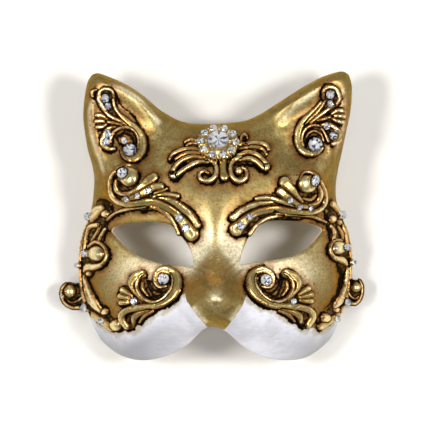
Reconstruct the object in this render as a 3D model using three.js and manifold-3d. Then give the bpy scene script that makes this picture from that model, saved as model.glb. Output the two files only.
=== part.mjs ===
// A Venetian cat half mask, face up on its rim, in millimetres.
// +X is the right of the face as one looks at it, +Y runs up the forehead and +Z points out of it.
// A thin papier-mache shell carries nine cast scrolls, a crystal brooch and rhinestones.

import * as THREE from 'three';
import { mergeVertices } from 'three/addons/utils/BufferGeometryUtils.js';
import Module from 'manifold-3d';

const wasm = await Module();
wasm.setup();

// Driving dimensions of the shell
const SHELL_THICKNESS = 2.4;
const TIP_THICKNESS = 0.9;
const TIP_REACH = 11;
const GAP = 0.3;
const COLUMNS = 22;
const ROWS = 14;
const CROWDING = 0.6;
const EDGE_SAMPLES = 200;
const WALL_SEARCH_STEPS = 30;
const SLOPE_REACH = 0.05;

// Heights above the table that the mask lies on, as [y, height] along the middle of the face
const FACE_PROFILE = [
  [-78, 38], [-66, 46], [-56, 51], [-44, 54], [-30, 54], [-15, 53], [0, 55], [14, 56],
  [26, 53], [36, 47], [44, 40], [50, 34], [64, 26], [78, 18],
];
const EAR_FRONT = [[10, 50], [30, 46], [50, 43], [78, 37]];
const EAR_BLEND = { inner: 14, outer: 42, low: 16, high: 46 };
const NOSE_RIDGE = [
  [-66, 5], [-59, 11.5], [-53, 17], [-47, 20], [-42, 20.5], [-36, 18], [-26, 11.5], [-15, 7],
  [-4, 4.5], [8, 2], [22, 0],
];
const NOSE_BREADTH = [[-66, 19], [-50, 17.5], [-40, 15.5], [-28, 12], [-15, 9.5], [0, 10], [22, 14]];
const NOSE_POWER = 2.2;
const NOSE_TIP = { x: 0.3, y: -43.4, radius: 6, high: 2.6 };
const CHEEK_PAD = { x: 24, y: -54, wide: 20, tall: 13, high: 5 };
const EYE_SOCKET = { x: 35, y: -12, wide: 27, tall: 14, high: -2.5 };
const BROW_RIDGE = { x: 34, y: 8, wide: 24, tall: 6, high: 2 };

// How the shell folds back to its rim
const SIDE_POWER = 2.6;
const EAR_POWER = 12;
const EAR_RIM_HEIGHT = 27;
const SIDE_RISE = { low: 12, high: 62 };
// The rim over the mouth, as [distance from the middle, height above the table]
const BOTTOM_RIM = [
  [0, 53], [6, 50], [12, 44], [20, 38], [30, 32], [40, 25], [50, 15], [57, 6], [62, 0],
];
const TOP_FOLD = 4.6;
const NOTCH_FOLD = 7;
const LOBE_FOLD = 16;
const LOBE_START = 5;
const LOBE_MIDDLE = 24;
const WALL_START = 0.955;
const WALL_TOP = 30;

// The bowl of each ear, between its folded edges
const EAR_BOWL = { deep: 5, lip: 3.5, far: 13, low: 14, high: 36, inner: 26, outer: 40 };

// Cast scrolls and stones
const SINK = 1.5;
const FLOOR_HIGH = 1.2;
const RIB_STEPS = 0.5;
const STONE_SIDES = 6;
const STONE_HEIGHT = 0.6;
const STONE_TABLE = 0.6;
const CUTTER_HEIGHT = 120;
const SEAT_STEP = 0.1;
const BROOCH = {
  x: 1.4, y: 36.4, lift: 2.4, thick: 2.4, radius: 11.4, ring: 9.2, crystals: 10, turn: -0.07,
  small: 2.1, centre: 5.6, deep: 1.2, crown: 0.35, sides: 16,
};
const SNAIL = { radius: 4.6, thick: 3, high: 9.5, dome: 3.6, margin: 0.8, sides: 10 };

const rib = (high, wide, line) => ({ high, wide, line });
const floor = (wide, line) => ({ high: FLOOR_HIGH, wide, line, flat: true });
const dome = (high, radius, at) => ({ high, radius, at });

// Outlines seen from the front, each as the few points that its shape needs
const LEAF_SCROLL = [
  // band
  rib(2.1, [1.3, 2.1, 2.6, 3.7, 4.2, 4.5, 4.2, 3.4, 3.2, 3.4, 2.9], [
    [2.1, -3.9], [-1.6, -4.2], [-3.7, -1.3], [-3.4, 2.4], [-0.5, 5], [3.7, 4.5], [7.1, 1.8],
    [8.1, -2.1], [6.6, -6.8], [2.6, -11], [-3.2, -13.7], [-10, -14.7], [-16.3, -15.5],
    [-20.5, -17.6], [-21.3, -21], [-18.6, -24.9],
  ]),
  // inner lip
  rib(2.7, [1.3, 1.7, 1.9, 1.7, 1.6], [
    [4.5, 2.9], [6, -1.1], [5, -5.5], [1.6, -10], [-3.4, -12.1], [-8.4, -10.8], [-11.8, -7.4],
    [-13.1, -3.2], [-11.6, 0.8], [-9.5, 2.6],
  ]),
  // outer lobe
  rib(2, [4.7, 4.2, 2.6, 1.8], [[-10.8, 2.6], [-14.2, 1.1], [-16.3, -2.4], [-14.7, -6.3], [-10, -11]]),
  // fan lobe
  rib(1.6, [1.6, 2.8, 3.2], [[-16, -8.7], [-18.4, -7], [-20.8, -5.8]]),
  // fan lobe
  rib(1.6, [1.6, 2.8, 3.2], [[-16, -10.2], [-18.9, -9.6], [-21.9, -8.9]]),
  // fan lobe
  rib(1.6, [1.6, 2.6, 2.8], [[-16, -11.8], [-18.7, -12.2], [-21.5, -12.3]]),
  // inner leaf
  rib(1.5, [1.6, 2.6, 3.2, 1.8], [[-5.8, -15.5], [-11, -17.3], [-14.7, -19.9], [-15, -23.1]]),
  // floor
  floor([4.2, 7.9, 7.4, 4.7], [[4.2, -2.1], [-1.6, -6.3], [-7.4, -5.2], [-11, -1.6]]),
  // floor
  floor([4.7, 5.2, 4.7], [[-19.9, -6.3], [-17.9, -10.5], [-8.9, -13.7]]),
  // floor
  floor([4.7, 5.2, 4.2], [[-7.4, -15.8], [-15.2, -18.4], [-16.8, -24.2]]),
];

const LEFT_BROW = [
  // dome
  dome(3.4, 5, [-45.1, 20.5]),
  // band
  rib(2.5, [0.8, 1.4, 1.8, 1.9, 2, 2.5, 3.2, 3.7, 3.7, 3.4, 3.6, 5, 7.4], [
    [-40.7, 23.1], [-44.9, 26.2], [-50.1, 24.9], [-53.8, 21], [-54.9, 15.8], [-53.6, 10.5],
    [-49.6, 7.4], [-43.3, 6.6], [-36.5, 7.6], [-31.2, 7.6], [-25.8, 5.2], [-20.7, 1.8],
    [-16.5, -3.4], [-12.4, -9.2],
  ]),
  // inner coil
  rib(2.2, [1.3, 2.1, 2.1, 2.6, 4.2, 4.2], [
    [-51.5, 18.9], [-51.7, 14.7], [-49.1, 12.1], [-44.4, 12.3], [-39.1, 15.2], [-34.9, 18.1],
    [-32, 20.2],
  ]),
  // stone leaf
  rib(1.9, [2.1, 2.9, 3.7, 3.9, 3.2], [
    [-48, 9.2], [-42.8, 10.2], [-37, 12.6], [-32.3, 15.2], [-28.4, 15.5],
  ]),
  // top leaf
  rib(2, [1.8, 2.6, 2.4], [[-32.3, 10.2], [-26, 11.3], [-19.7, 10.5]]),
  // outer band
  rib(2.5, [1.6, 2.6, 3.4, 3.8, 3.8, 3.4], [
    [-30.2, 10.2], [-23.7, 8.7], [-17.5, 4.9], [-12.3, 0.2], [-8.9, -4.7],
  ]),
  // thin rib
  rib(1.8, [1.6, 2, 1.9, 2.1], [[-33.6, 5.5], [-28.1, 3.4], [-23.6, -0.3], [-21, -4.7], [-19.2, -9.2]]),
  // lower rim
  rib(1.9, [1.3, 1.8, 2.1, 1.8], [[-56.2, -2.1], [-51.2, 2.1], [-44.4, 4.5], [-36.5, 5.8]]),
  // floor
  floor([5.2, 6.3, 6.3, 4.7], [[-53.8, 15.2], [-47, 14.2], [-38.6, 13.1], [-29.1, 13.1]]),
  // floor
  floor([6.3, 7.4, 7.9, 7.4], [[-37.5, 6.3], [-27.6, 7.4], [-19.7, 1.6], [-14.4, -7.9]]),
];

const RIGHT_BROW = [
  // dome
  dome(3.4, 4.6, [47.5, 16.8]),
  // band
  rib(2.5, [0.8, 1.4, 1.8, 1.9, 2, 2.3, 2.9, 3.7, 3.7, 3.5, 3.7, 5, 7], [
    [43.8, 19.4], [46.5, 22.6], [51.2, 21.8], [55.1, 17.3], [57.2, 11.6], [56.7, 6.3], [52.8, 2.6],
    [45.9, 1.8], [39.1, 2.9], [32.3, 3.9], [26, 3.4], [19.9, 1.3], [14.9, -2.3], [10.8, -6.7],
  ]),
  // inner coil
  rib(2.2, [1.6, 2.4, 2.1, 1.6], [[53.3, 16.3], [54.6, 12.1], [53, 7.9], [48.6, 6]]),
  // first leaf
  rib(2.2, [1.6, 2.6, 4.2, 5.5], [[44.9, 8.1], [42.3, 11], [39.4, 14.4], [36, 17.6]]),
  // stone leaf
  rib(1.9, [2.1, 2.9, 3.9, 4.2], [[48.6, 5], [43.3, 6], [38.1, 9.5], [33.9, 12.9]]),
  // third leaf
  rib(2, [1.6, 2.4, 2.4, 2.1], [[40.7, 6], [34.4, 8.1], [27.6, 9.7], [21.3, 9.2]]),
  // outer band
  rib(2.5, [1.7, 2.6, 3.3, 3.7], [[29.7, 7.9], [21.5, 6.8], [14.1, 3.6], [8.8, -0.6]]),
  // thin rib
  rib(1.8, [1.6, 2.2, 2.1, 2.4], [[35.4, 0.8], [28.1, -0.5], [22.3, -3.7], [17.9, -9.2]]),
  // lower rim
  rib(1.9, [1.3, 1.7, 1.8, 2.6], [[57.5, -3.4], [50.7, -0.5], [42.3, 0.8], [35.4, 1.1], [30.7, 2.9]]),
  // floor
  floor([5.2, 7.4, 7.4, 4.7], [[55.4, 13.7], [48, 8.9], [39.6, 10], [31.8, 10]]),
  // floor
  floor([4.7, 6.8, 10, 10.5, 8.9], [[44.4, 1.1], [36, 1.6], [26.5, 2.1], [19.2, -0.5], [13.4, -5.2]]),
];

const LEFT_EAR = [
  // cup
  rib(2.1, [1.3, 1.6, 1.8, 2, 2.1, 2.4, 2.4, 2.1, 1.8, 1.3], [
    [-53, 62.5], [-54.3, 66.4], [-58, 67.2], [-60.9, 65.4], [-61.7, 62], [-60.5, 58.3],
    [-57.9, 54.6], [-54.1, 51.7], [-49.9, 49.8], [-45.9, 47.4],
  ]),
  // band
  rib(2.2, [1.6, 1.9, 2.4, 3.2, 3.9, 4.5, 4.5, 3.9, 3.2, 2.4, 1.7, 1.4], [
    [-53.5, 61.6], [-52.8, 57], [-49.8, 52.8], [-46, 49.5], [-42.2, 46.1], [-39.1, 42.2],
    [-38, 37.5], [-38.8, 33.4], [-41.2, 30.3], [-44.7, 29.1], [-48, 30.6], [-49.7, 34.1],
  ]),
  // inner lip
  rib(2.8, [1.4, 1.6, 1.7, 1.8, 1.7, 1.6, 1.5, 1.3], [
    [-54.7, 39.1], [-54.4, 42.3], [-52.2, 44.9], [-48.5, 46.4], [-44.6, 45.9], [-41.7, 43.4],
    [-40.5, 39.6], [-40.7, 35.4],
  ]),
  // lobe
  rib(1.9, [1.4, 2, 2.5, 2.7, 2.8, 2.6, 1.8], [
    [-52.8, 46.8], [-56.1, 46], [-58.6, 43.3], [-59.4, 39.8], [-58.6, 36.9], [-56, 35.2],
    [-53.1, 35.2],
  ]),
  // fan lobe
  rib(1.6, [1.5, 2.4, 2.6], [[-57.2, 50.9], [-59.9, 52.7], [-62.3, 52.9]]),
  // fan lobe
  rib(1.6, [1.5, 2.4, 2.6], [[-57.5, 49.5], [-60.1, 49.9], [-62.5, 49.9]]),
  // fan lobe
  rib(1.6, [1.5, 2.3, 2.4], [[-57.5, 48.2], [-59.9, 47], [-62, 46.8]]),
  // inner leaf
  rib(1.4, [1.8, 1.7, 1.2], [[-57.8, 49.6], [-53.3, 48.9], [-48.6, 47.6]]),
  // floor
  floor([6.3, 6.3, 4.2], [[-58, 62.5], [-56.4, 57.8], [-52.2, 53]]),
  // floor
  floor([4.7, 6.8, 8.4, 6.8], [[-60.1, 49.9], [-54.3, 47.2], [-47, 41], [-44.4, 34.6]]),
  // floor
  floor([4.7, 4.7], [[-56.4, 43.6], [-57, 37.8]]),
];

const RIGHT_EAR = [
  // cup
  rib(2.1, [1.4, 1.7, 2, 2.1, 2.1, 1.9, 1.4], [
    [56.4, 62.2], [56.4, 66.2], [59.1, 68.2], [62.7, 67.5], [64.9, 64.8], [65.3, 61.2], [63.7, 58],
  ]),
  // leaf
  rib(2, [1.5, 2.1, 2.3, 2.2, 1.8], [[63.5, 58.3], [60.1, 56.4], [56.5, 54.1], [53, 51.5], [50, 49]]),
  // leaf
  rib(2, [1.6, 2.1, 2.3, 2.2, 1.8], [
    [57.3, 60.6], [55.3, 57], [52.6, 53.7], [49.4, 50.9], [46.8, 48.3],
  ]),
  // band
  rib(2.2, [1.6, 2.3, 2.9, 3.6, 3.7, 3.6, 3.5, 3.2, 2.6, 1.9, 1.4], [
    [55.2, 60.1], [52.6, 56.4], [48.8, 52.6], [45.4, 48.5], [43.5, 44.1], [43.3, 39.4],
    [44.6, 35.4], [47.5, 32.9], [51.1, 32.2], [54.3, 33.3], [56.6, 35.7],
  ]),
  // inner lip
  rib(2.8, [1.4, 1.6, 1.7, 1.7, 1.6, 1.4], [
    [46.1, 36.2], [45.4, 39.6], [45.9, 43.3], [47.9, 46], [51, 47.5], [54.7, 47.2],
  ]),
  // lobe
  rib(2, [1.6, 2, 2.4, 2.6, 2.7, 2.1], [
    [54.3, 47.2], [58.5, 48.4], [62.4, 46.8], [64.4, 43.4], [64, 40.1], [61.5, 38],
  ]),
  // fan lobe
  rib(1.6, [1.5, 2.4, 2.6], [[61.5, 53.3], [63.8, 55.2], [66.1, 55.4]]),
  // fan lobe
  rib(1.6, [1.5, 2.4, 2.6], [[61.7, 52.3], [64.3, 52.7], [66.7, 52.5]]),
  // fan lobe
  rib(1.6, [1.5, 2.3, 2.4], [[61.9, 51.1], [64.1, 50], [66.2, 49.6]]),
  // inner leaf
  rib(1.4, [1.3, 1.8, 1.6], [[53.8, 50.1], [58, 51.3], [62, 52.2]]),
  // floor
  floor([6.3, 6.3, 5.2, 4.2], [[60.6, 64], [60.6, 58.8], [55.9, 54.6], [50.1, 49.9]]),
  // floor
  floor([8.4, 9.5, 6.8, 4.7], [[49.1, 36.8], [52.2, 41.5], [58.5, 46.2], [63.8, 52]]),
  // floor
  floor([5.2, 5.2], [[61.7, 44.6], [61.7, 41]]),
];

const FOREHEAD_PLUME = [
  // feather
  rib(1.5, [1.3, 1.4, 1.2], [[-6.6, 38.3], [-12.9, 39.7], [-16.1, 38.4]]),
  // feather
  rib(1.5, [1.3, 1.4, 1.2], [[-6, 36.6], [-12.1, 38], [-15.2, 36.6]]),
  // feather
  rib(1.8, [1.4, 1.7, 1.9, 1.8, 1.4], [
    [-6.6, 33.9], [-12.3, 35], [-17.6, 34.3], [-22.3, 32.1], [-24, 29.4],
  ]),
  // feather
  rib(1.8, [1.4, 1.8, 1.8, 1.4], [[-5.5, 31.7], [-10.8, 32.8], [-16.2, 32.2], [-20.9, 29.4]]),
  // leaf ridge
  rib(2, [1.6, 2, 2.2, 2.3, 2.6], [
    [-5, 29.7], [-10.8, 30.8], [-16.2, 29.6], [-20.5, 26.4], [-22.7, 22.3],
  ]),
  // leaf ridge
  rib(2, [1.8, 2.4, 2.5, 2.4], [[-3.9, 28.1], [-9.2, 27.9], [-14.6, 25.4], [-20.4, 21.3]]),
  // leaf end
  dome(1.9, 2.5, [-22, 21.6]),
  // volute
  rib(2.3, [1.9, 2.4, 2.6, 2.6, 2.2, 1.9, 1.4], [
    [-5.5, 29.1], [-1.4, 28], [0.5, 24.7], [-0.2, 20.5], [-3.9, 18], [-7.8, 19.1], [-8.2, 21.9],
    [-5.8, 23.2], [-3.7, 22.1],
  ]),
  // stem
  rib(1.9, [3.9, 3.5, 4.5], [[3.8, 31.5], [4, 24.2], [4.5, 19.2]]),
  // volute
  rib(2.3, [2.1, 2.4, 2.5, 2.6, 2.4, 1.9, 1.4], [
    [13.4, 30.2], [9.5, 28.6], [7.8, 24.7], [9, 19.9], [12.5, 17.9], [15.9, 19.7], [16.2, 23.4],
    [13.9, 25],
  ]),
  // ball
  dome(1.9, 2.3, [12.2, 23.6]),
  // feather
  rib(1.6, [1.3, 1.4, 1.1], [[11.3, 36.5], [14.6, 37.5], [17.3, 36.2]]),
  // feather
  rib(1.9, [1.4, 2, 2.2, 1.9], [[16, 37.5], [21.3, 37.9], [26, 37], [27.8, 34.6]]),
  // feather
  rib(1.7, [1.3, 1.7, 1.6, 1.3], [[12.9, 34.9], [18.6, 35.8], [24.2, 35.1], [26.8, 31.8]]),
  // leaf ridge
  rib(2.1, [1.8, 2.2, 2.2, 2.2], [[11.8, 31.3], [16.7, 32.9], [22.1, 31.4], [26.4, 27.1]]),
  // leaf ridge
  rib(2, [1.8, 2.4, 2.5, 2.3], [[12.9, 29.2], [17.8, 29.8], [21.7, 28], [24.9, 25]]),
  // leaf end
  dome(1.9, 2.2, [26.5, 25.5]),
  // floor
  floor([6.3, 13.1, 13.7, 13.7, 7.4], [
    [-16.5, 31.5], [-7.1, 33.6], [1.8, 35.7], [10.8, 34.1], [22.8, 31.5],
  ]),
];

const LEFT_SIDE = [
  // top leaf
  rib(2.6, [3.7, 5.8, 5], [[-59.6, 4.2], [-63, 1.6], [-65.9, -1.3]]),
  // ball
  dome(2.2, 2.3, [-57.5, 1.1]),
  // inner ridge
  rib(2.1, [2.6, 2.1, 2.1, 2.1], [[-61.2, -5], [-65.9, -6.3], [-68, -12.1], [-69.3, -19.9]]),
  // dome
  dome(3.2, 4.3, [-62, -19.9]),
  // ring
  rib(2, [1.6, 1.9, 1.8, 1.8, 2.1, 3.4, 3.9, 2.6], [
    [-66.4, -16.3], [-62.7, -13.7], [-58.3, -16], [-56.7, -21], [-59.1, -25.2], [-63.3, -26.8],
    [-66.4, -27], [-69, -28.9],
  ]),
  // ball
  dome(1.7, 1.6, [-66.4, -30.5]),
  // crescent
  rib(2.6, [2.1, 3.9, 4.5, 3.7, 2.1], [
    [-68.8, -32], [-67.5, -37.3], [-65.4, -42.5], [-62.5, -46.5], [-59.6, -49.6],
  ]),
  // lower chain
  rib(1.9, [2.1, 3.2, 3.7, 3.2], [[-68.5, -49.9], [-64.3, -52.2], [-59.1, -55.4], [-54.3, -58.8]]),
  // ball
  dome(2.2, 2, [-57.8, -50.1]),
  // ball
  dome(2.8, 3.2, [-52, -57.2]),
  // seat
  dome(2.6, 2.6, [-67.2, -1]),
  // seat
  dome(2.4, 1.9, [-67.1, -19.9]),
  // seat
  dome(3.4, 2, [-75.5, -26.1]),
  // seat
  dome(2.8, 2.3, [-69.8, -47.5]),
  // floor
  floor([9.5, 7.4, 6.8, 6.3], [[-59.1, 3.7], [-62.2, -6.8], [-63.8, -18.4], [-67.5, -28.9]]),
  // floor
  floor([5.2, 5.8, 5.2], [[-68.5, -37.8], [-64.8, -46.7], [-54.9, -56.2]]),
  // floor
  floor([7.4, 8.9, 8.9, 7.4], [[-69, -6.3], [-73, -15.8], [-73, -31.5], [-70.1, -45.1]]),
];

const RIGHT_SIDE = [
  // top leaf
  rib(2.4, [3.2, 4.7, 4.2], [[61.2, 6.3], [64.8, 3.7], [68.2, 0]]),
  // ball
  dome(2, 2.2, [61.2, -1.8]),
  // ball
  dome(1.8, 1.9, [65.4, -3.4]),
  // inner ridge
  rib(2.1, [1.6, 2.1, 2.1, 1.8], [[66.4, -2.1], [68.5, -7.4], [70.1, -12.6], [70.9, -17.3]]),
  // dome
  dome(3.2, 3.8, [64, -16.8]),
  // ring
  rib(1.9, [1.6, 1.8, 1.8, 2.1, 3.4, 2.6], [
    [65.9, -12.9], [61.7, -13.1], [59.9, -17.3], [61.7, -21.5], [65.9, -23.1], [69.3, -25.5],
  ]),
  // crescent
  rib(2.6, [2.1, 3.9, 4.5, 3.7, 2.1], [
    [69.8, -27.8], [69.6, -33.6], [68, -39.1], [65.4, -43.8], [62.2, -47.5],
  ]),
  // lower chain
  rib(1.9, [2.1, 3.2, 3.7, 3.2], [[69, -49.6], [64.8, -52], [60.1, -55.1], [54.9, -58.3]]),
  // ball
  dome(2.1, 1.9, [63.3, -48.8]),
  // ball
  dome(2.7, 2.9, [57.5, -53.6]),
  // seat
  dome(2.6, 2.6, [67.5, -0.2]),
  // seat
  dome(2.4, 1.9, [67.3, -16.7]),
  // seat
  dome(3.4, 2, [75.5, -24.5]),
  // seat
  dome(2.8, 2.3, [70.5, -44.8]),
  // floor
  floor([7.9, 7.4, 6.8, 6.3], [[61.7, 4.7], [63.3, -6.3], [65.9, -16.8], [68.5, -27.3]]),
  // floor
  floor([5.2, 5.8, 5.2], [[69.6, -36.8], [65.9, -46.2], [56.4, -55.1]]),
  // floor
  floor([7.4, 8.9, 8.9, 7.4], [[69.6, -5.2], [73, -15.8], [73, -31.5], [70.1, -45.1]]),
];

const LEFT_SIDE_LINE = [
  [-65.9, -55.7], [-68.8, -47.2], [-70.4, -38.9], [-71.1, -28.4], [-70.9, -17.9], [-69.6, -8.4],
  [-66.9, 0], [-65.4, 6.3], [-64.6, 13.7], [-64.3, 19.9], [-65.4, 27.3], [-67.5, 34.6],
  [-69, 44.1], [-69.8, 52.5], [-69.1, 62], [-67.5, 70.4], [-65.1, 74.5],
];

const RIGHT_SIDE_LINE = [
  [65.4, -55.7], [68, -47.2], [69.8, -38.9], [70.9, -28.4], [70.9, -17.9], [69.6, -8.4], [66.9, 0],
  [64.6, 6.3], [63.8, 13.7], [64.6, 22.1], [66.7, 32.6], [69, 44.1], [70.9, 53.6], [71.9, 63],
  [71.8, 69.3], [70.4, 74.3],
];

const TOP_LINE = [
  [-65.1, 74.5], [-62.2, 75.4], [-57.5, 74], [-51.2, 71.4], [-43.8, 67.5], [-36.5, 62.2],
  [-30.2, 56.7], [-24.9, 53.3], [-18.6, 50.1], [-10.8, 48.6], [-1.8, 48.6], [7.6, 49.2],
  [16, 50.4], [22.8, 53.3], [29.7, 57.5], [38.1, 63], [47, 68.5], [55.4, 73], [62.7, 75.6],
  [67.5, 76.2], [70.4, 74.3],
];

const BOTTOM_LINE = [
  [-65.9, -55.7], [-63.8, -60.4], [-60.1, -66.2], [-53.8, -71.7], [-47, -74.8], [-39.1, -76.1],
  [-29.7, -74.8], [-20.7, -71.4], [-13.4, -66.4], [-8.7, -61.7], [-4.5, -58.4], [-1.6, -57.8],
  [1.8, -58.4], [6.6, -61.4], [12.3, -66.7], [19.2, -71.4], [27.6, -74.8], [38.6, -76.1],
  [47.5, -74.8], [54.3, -71.1], [60.1, -65.9], [63.5, -60.4], [65.4, -55.7],
];

const LEFT_EYE = [
  [-56.2, -7.9], [-54.3, -5.7], [-49.6, -4.5], [-43.3, -3.8], [-36, -3.4], [-29.1, -3.8],
  [-23.4, -5.2], [-18.6, -10.5], [-14.4, -16], [-12.6, -21.5], [-12.9, -26.1], [-18.6, -25.6],
  [-27.6, -24.8], [-36, -22.6], [-43.3, -19.4], [-49.6, -14.7],
];

const RIGHT_EYE = [
  [57.8, -7.4], [55.9, -5.6], [50.7, -4.1], [43.8, -3.2], [36, -2.6], [28.6, -3], [22.3, -4.7],
  [18.4, -10], [15.5, -16], [13.9, -21], [13.4, -24.9], [19.2, -24.3], [27.6, -23.1],
  [36.5, -21.8], [44.4, -19.2], [51.7, -14.4],
];

// The same cast is laid on both cheeks, turned over and stretched a little while soft
const CAST_PLACES = {
  left_cheek: { at: [-27.6, -33.1], across: [1, 0], up: [0, 1] },
  right_cheek: { at: [26, -33.2], across: [-1.04, -0.04], up: [-0.12, 0.99] },
};

// Rhinestones as [x, y, radius]
const RHINESTONES = {
  left_ear: [
    [-44.9, 34.3, 3.6], [-58.3, 62.2, 2.3], [-56.6, 57.7, 1.9], [-56.3, 43.2, 2.2],
    [-57.5, 39.1, 2], [-48, 39.6, 1.7],
  ],
  right_ear: [
    [52.2, 37.4, 3.8], [60.4, 64.3, 2.4], [60.8, 59, 1.8], [58.9, 47, 1.9],
    [62, 42.4, 2.2],
  ],
  left_brow: [
    [-47.8, 21.8, 2.9], [-45.9, 9.5, 1.6], [-40.4, 10.8, 1.6], [-34.6, 13.4, 1.7],
    [-18.6, -0.5, 2], [-15.2, -5.8, 2.2],
  ],
  right_brow: [
    [51.2, 18.6, 2.8], [38.6, 8.7, 1.7], [43.6, 5.2, 1.7], [49.4, 4.2, 1.6],
    [17.6, 0, 1.7], [12.6, -4.7, 2.1],
  ],
  left_cheek: [[-27, -33.1, 3], [-42.5, -44.4, 2.1]],
  right_cheek: [[26.2, -33.6, 3.1], [40.7, -44.9, 1.8]],
  left_side: [
    [-67.2, -1, 2.2], [-67.2, -20, 1.9], [-75.5, -26.1, 1.3], [-69.8, -47.5, 1.9],
    [-58.7, -54.6, 1.7],
  ],
  right_side: [
    [67.5, -0.2, 2.3], [67.2, -16.7, 1.9], [75.5, -24.5, 1.3], [70.5, -44.8, 1.9],
    [62.9, -53.4, 1.7],
  ],
};

// The band along each side wall, and the snail that hangs out beyond it
const SIDE_BANDS = {
  left: rib(2.3, [2, 2.6, 2.6, 2.6, 2.4, 1.8], [
    [-65.4, -2], [-71.5, -8.4], [-76.2, -18], [-77.4, -28], [-76.2, -38], [-71.7, -46], [-66, -51],
  ]),
  right: rib(2.3, [2, 2.6, 2.6, 2.6, 2.4, 1.8], [
    [65.4, -1], [71.5, -8.4], [76.2, -18], [77.4, -28], [76.2, -38], [71.7, -46], [66.5, -50],
  ]),
};
const SNAILS = {
  left: { at: [-77.2, -39.9], across: 1, dome: 3.4 },
  right: { at: [74.8, -37.8], across: -0.66, dome: 3 },
};
const SNAIL_RING = [
  [-0.5, 0.95], [-0.95, 0.3], [-0.97, -0.6], [-0.5, -1.5], [0.3, -1.95], [1.05, -1.9],
];
const SNAIL_ARM = [[1.7, 0.5], [0, 0]];
const SNAIL_LOBE = [[0.1, -0.4], [0.6, -1.5]];

const MATERIALS = {
  gold: { color: 0xb08d3c, roughness: 0.4, metalness: 0.85 },
  brass: { color: 0xd9a93f, roughness: 0.25, metalness: 1 },
  crystal: { color: 0xe8ecff, roughness: 0.05, metalness: 0.1 },
};
const mask = new THREE.Group();

// Small helpers

const clamp = (value, low, high) => Math.min(Math.max(value, low), high);
const mix = (a, b, t) => a + (b - a) * t;
const smoothstep = (x, low, high) => THREE.MathUtils.smoothstep(x, low, high);
const flat = ([x, y]) => new THREE.Vector2(x, y);

// A smooth curve through [place, value] pairs
function along(table, place) {
  const x = clamp(place, table[0][0], table.at(-1)[0]);
  let k = 0;
  while (k < table.length - 2 && x > table[k + 1][0]) k += 1;
  const slope = (n) => {
    const before = table[Math.max(n - 1, 0)];
    const after = table[Math.min(n + 1, table.length - 1)];
    return (after[1] - before[1]) / (after[0] - before[0]);
  };
  const [x0, y0] = table[k];
  const [x1, y1] = table[k + 1];
  const step = x1 - x0;
  const t = (x - x0) / step;
  const bend = t * t * (3 - 2 * t);
  const inward = t * (1 - t) * (1 - t) * step * slope(k);
  const outward = t * t * (t - 1) * step * slope(k + 1);
  return mix(y0, y1, bend) + inward + outward;
}

function solidOf(geometry) {
  const bare = geometry.clone();
  bare.deleteAttribute('normal');
  bare.deleteAttribute('uv');
  const merged = mergeVertices(bare, 1e-5);
  return new wasm.Manifold(new wasm.Mesh({
    numProp: 3,
    vertProperties: Float32Array.from(merged.attributes.position.array),
    triVerts: Uint32Array.from(merged.index.array),
  }));
}

function geometryOf(solid) {
  const { vertProperties, triVerts } = solid.getMesh();
  const geometry = new THREE.BufferGeometry();
  geometry.setAttribute('position', new THREE.BufferAttribute(vertProperties, 3));
  geometry.setIndex(new THREE.BufferAttribute(triVerts, 1));
  return geometry;
}

function addPiece(name, geometry, finish) {
  const mesh = new THREE.Mesh(geometry, new THREE.MeshStandardMaterial(MATERIALS[finish]));
  mesh.name = name;
  mask.add(mesh);
}

// The form of the face

const curveOf = (points) => new THREE.SplineCurve(points.map(flat));
const leftLine = curveOf(LEFT_SIDE_LINE);
const rightLine = curveOf(RIGHT_SIDE_LINE);
const topLine = curveOf(TOP_LINE);
const bottomLine = curveOf(BOTTOM_LINE);
const leftSamples = leftLine.getPoints(EDGE_SAMPLES);
const rightSamples = rightLine.getPoints(EDGE_SAMPLES);
const topSamples = topLine.getPoints(EDGE_SAMPLES);
const bottomSamples = bottomLine.getPoints(EDGE_SAMPLES);

function edgeAt(samples, y) {
  const height = clamp(y, samples[0].y, samples.at(-1).y);
  let k = 0;
  while (k < samples.length - 2 && samples[k + 1].y < height) k += 1;
  const t = (height - samples[k].y) / (samples[k + 1].y - samples[k].y);
  return mix(samples[k].x, samples[k + 1].x, clamp(t, 0, 1));
}

function distanceTo(samples, x, y) {
  let nearest = Infinity;
  for (let k = 0; k < samples.length - 1; k += 1) {
    const dx = samples[k + 1].x - samples[k].x;
    const dy = samples[k + 1].y - samples[k].y;
    const t = clamp(((x - samples[k].x) * dx + (y - samples[k].y) * dy) / (dx * dx + dy * dy), 0, 1);
    nearest = Math.min(nearest, Math.hypot(x - samples[k].x - t * dx, y - samples[k].y - t * dy));
  }
  return nearest;
}

const bell = (reach, power = 2) => Math.exp(-(Math.abs(reach) ** power));
const swell = (form, x, y) => form.high
  * bell((Math.abs(x) - form.x) / form.wide) * bell((y - form.y) / form.tall);

// The height falls to the rim in a quarter of an ellipse
function fold(height, rim, distance, radius) {
  const left = 1 - Math.min(distance / radius, 1);
  return rim + (height - rim) * Math.sqrt(1 - left * left);
}

function rowAt(y) {
  const left = edgeAt(leftSamples, y);
  const right = edgeAt(rightSamples, y);
  return { left, right, middle: (left + right) / 2, half: (right - left) / 2 };
}

function frontHeight(x, y) {
  const earward = smoothstep(Math.abs(x), EAR_BLEND.inner, EAR_BLEND.outer)
    * smoothstep(y, EAR_BLEND.low, EAR_BLEND.high);
  const form = mix(along(FACE_PROFILE, y), along(EAR_FRONT, y), earward);
  const nose = along(NOSE_RIDGE, y) * bell(x / along(NOSE_BREADTH, y), NOSE_POWER);
  const tip = NOSE_TIP.high * bell(Math.hypot(x - NOSE_TIP.x, y - NOSE_TIP.y) / NOSE_TIP.radius);
  return form + nose + tip + swell(CHEEK_PAD, x, y) + swell(EYE_SOCKET, x, y) + swell(BROW_RIDGE, x, y);
}

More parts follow.
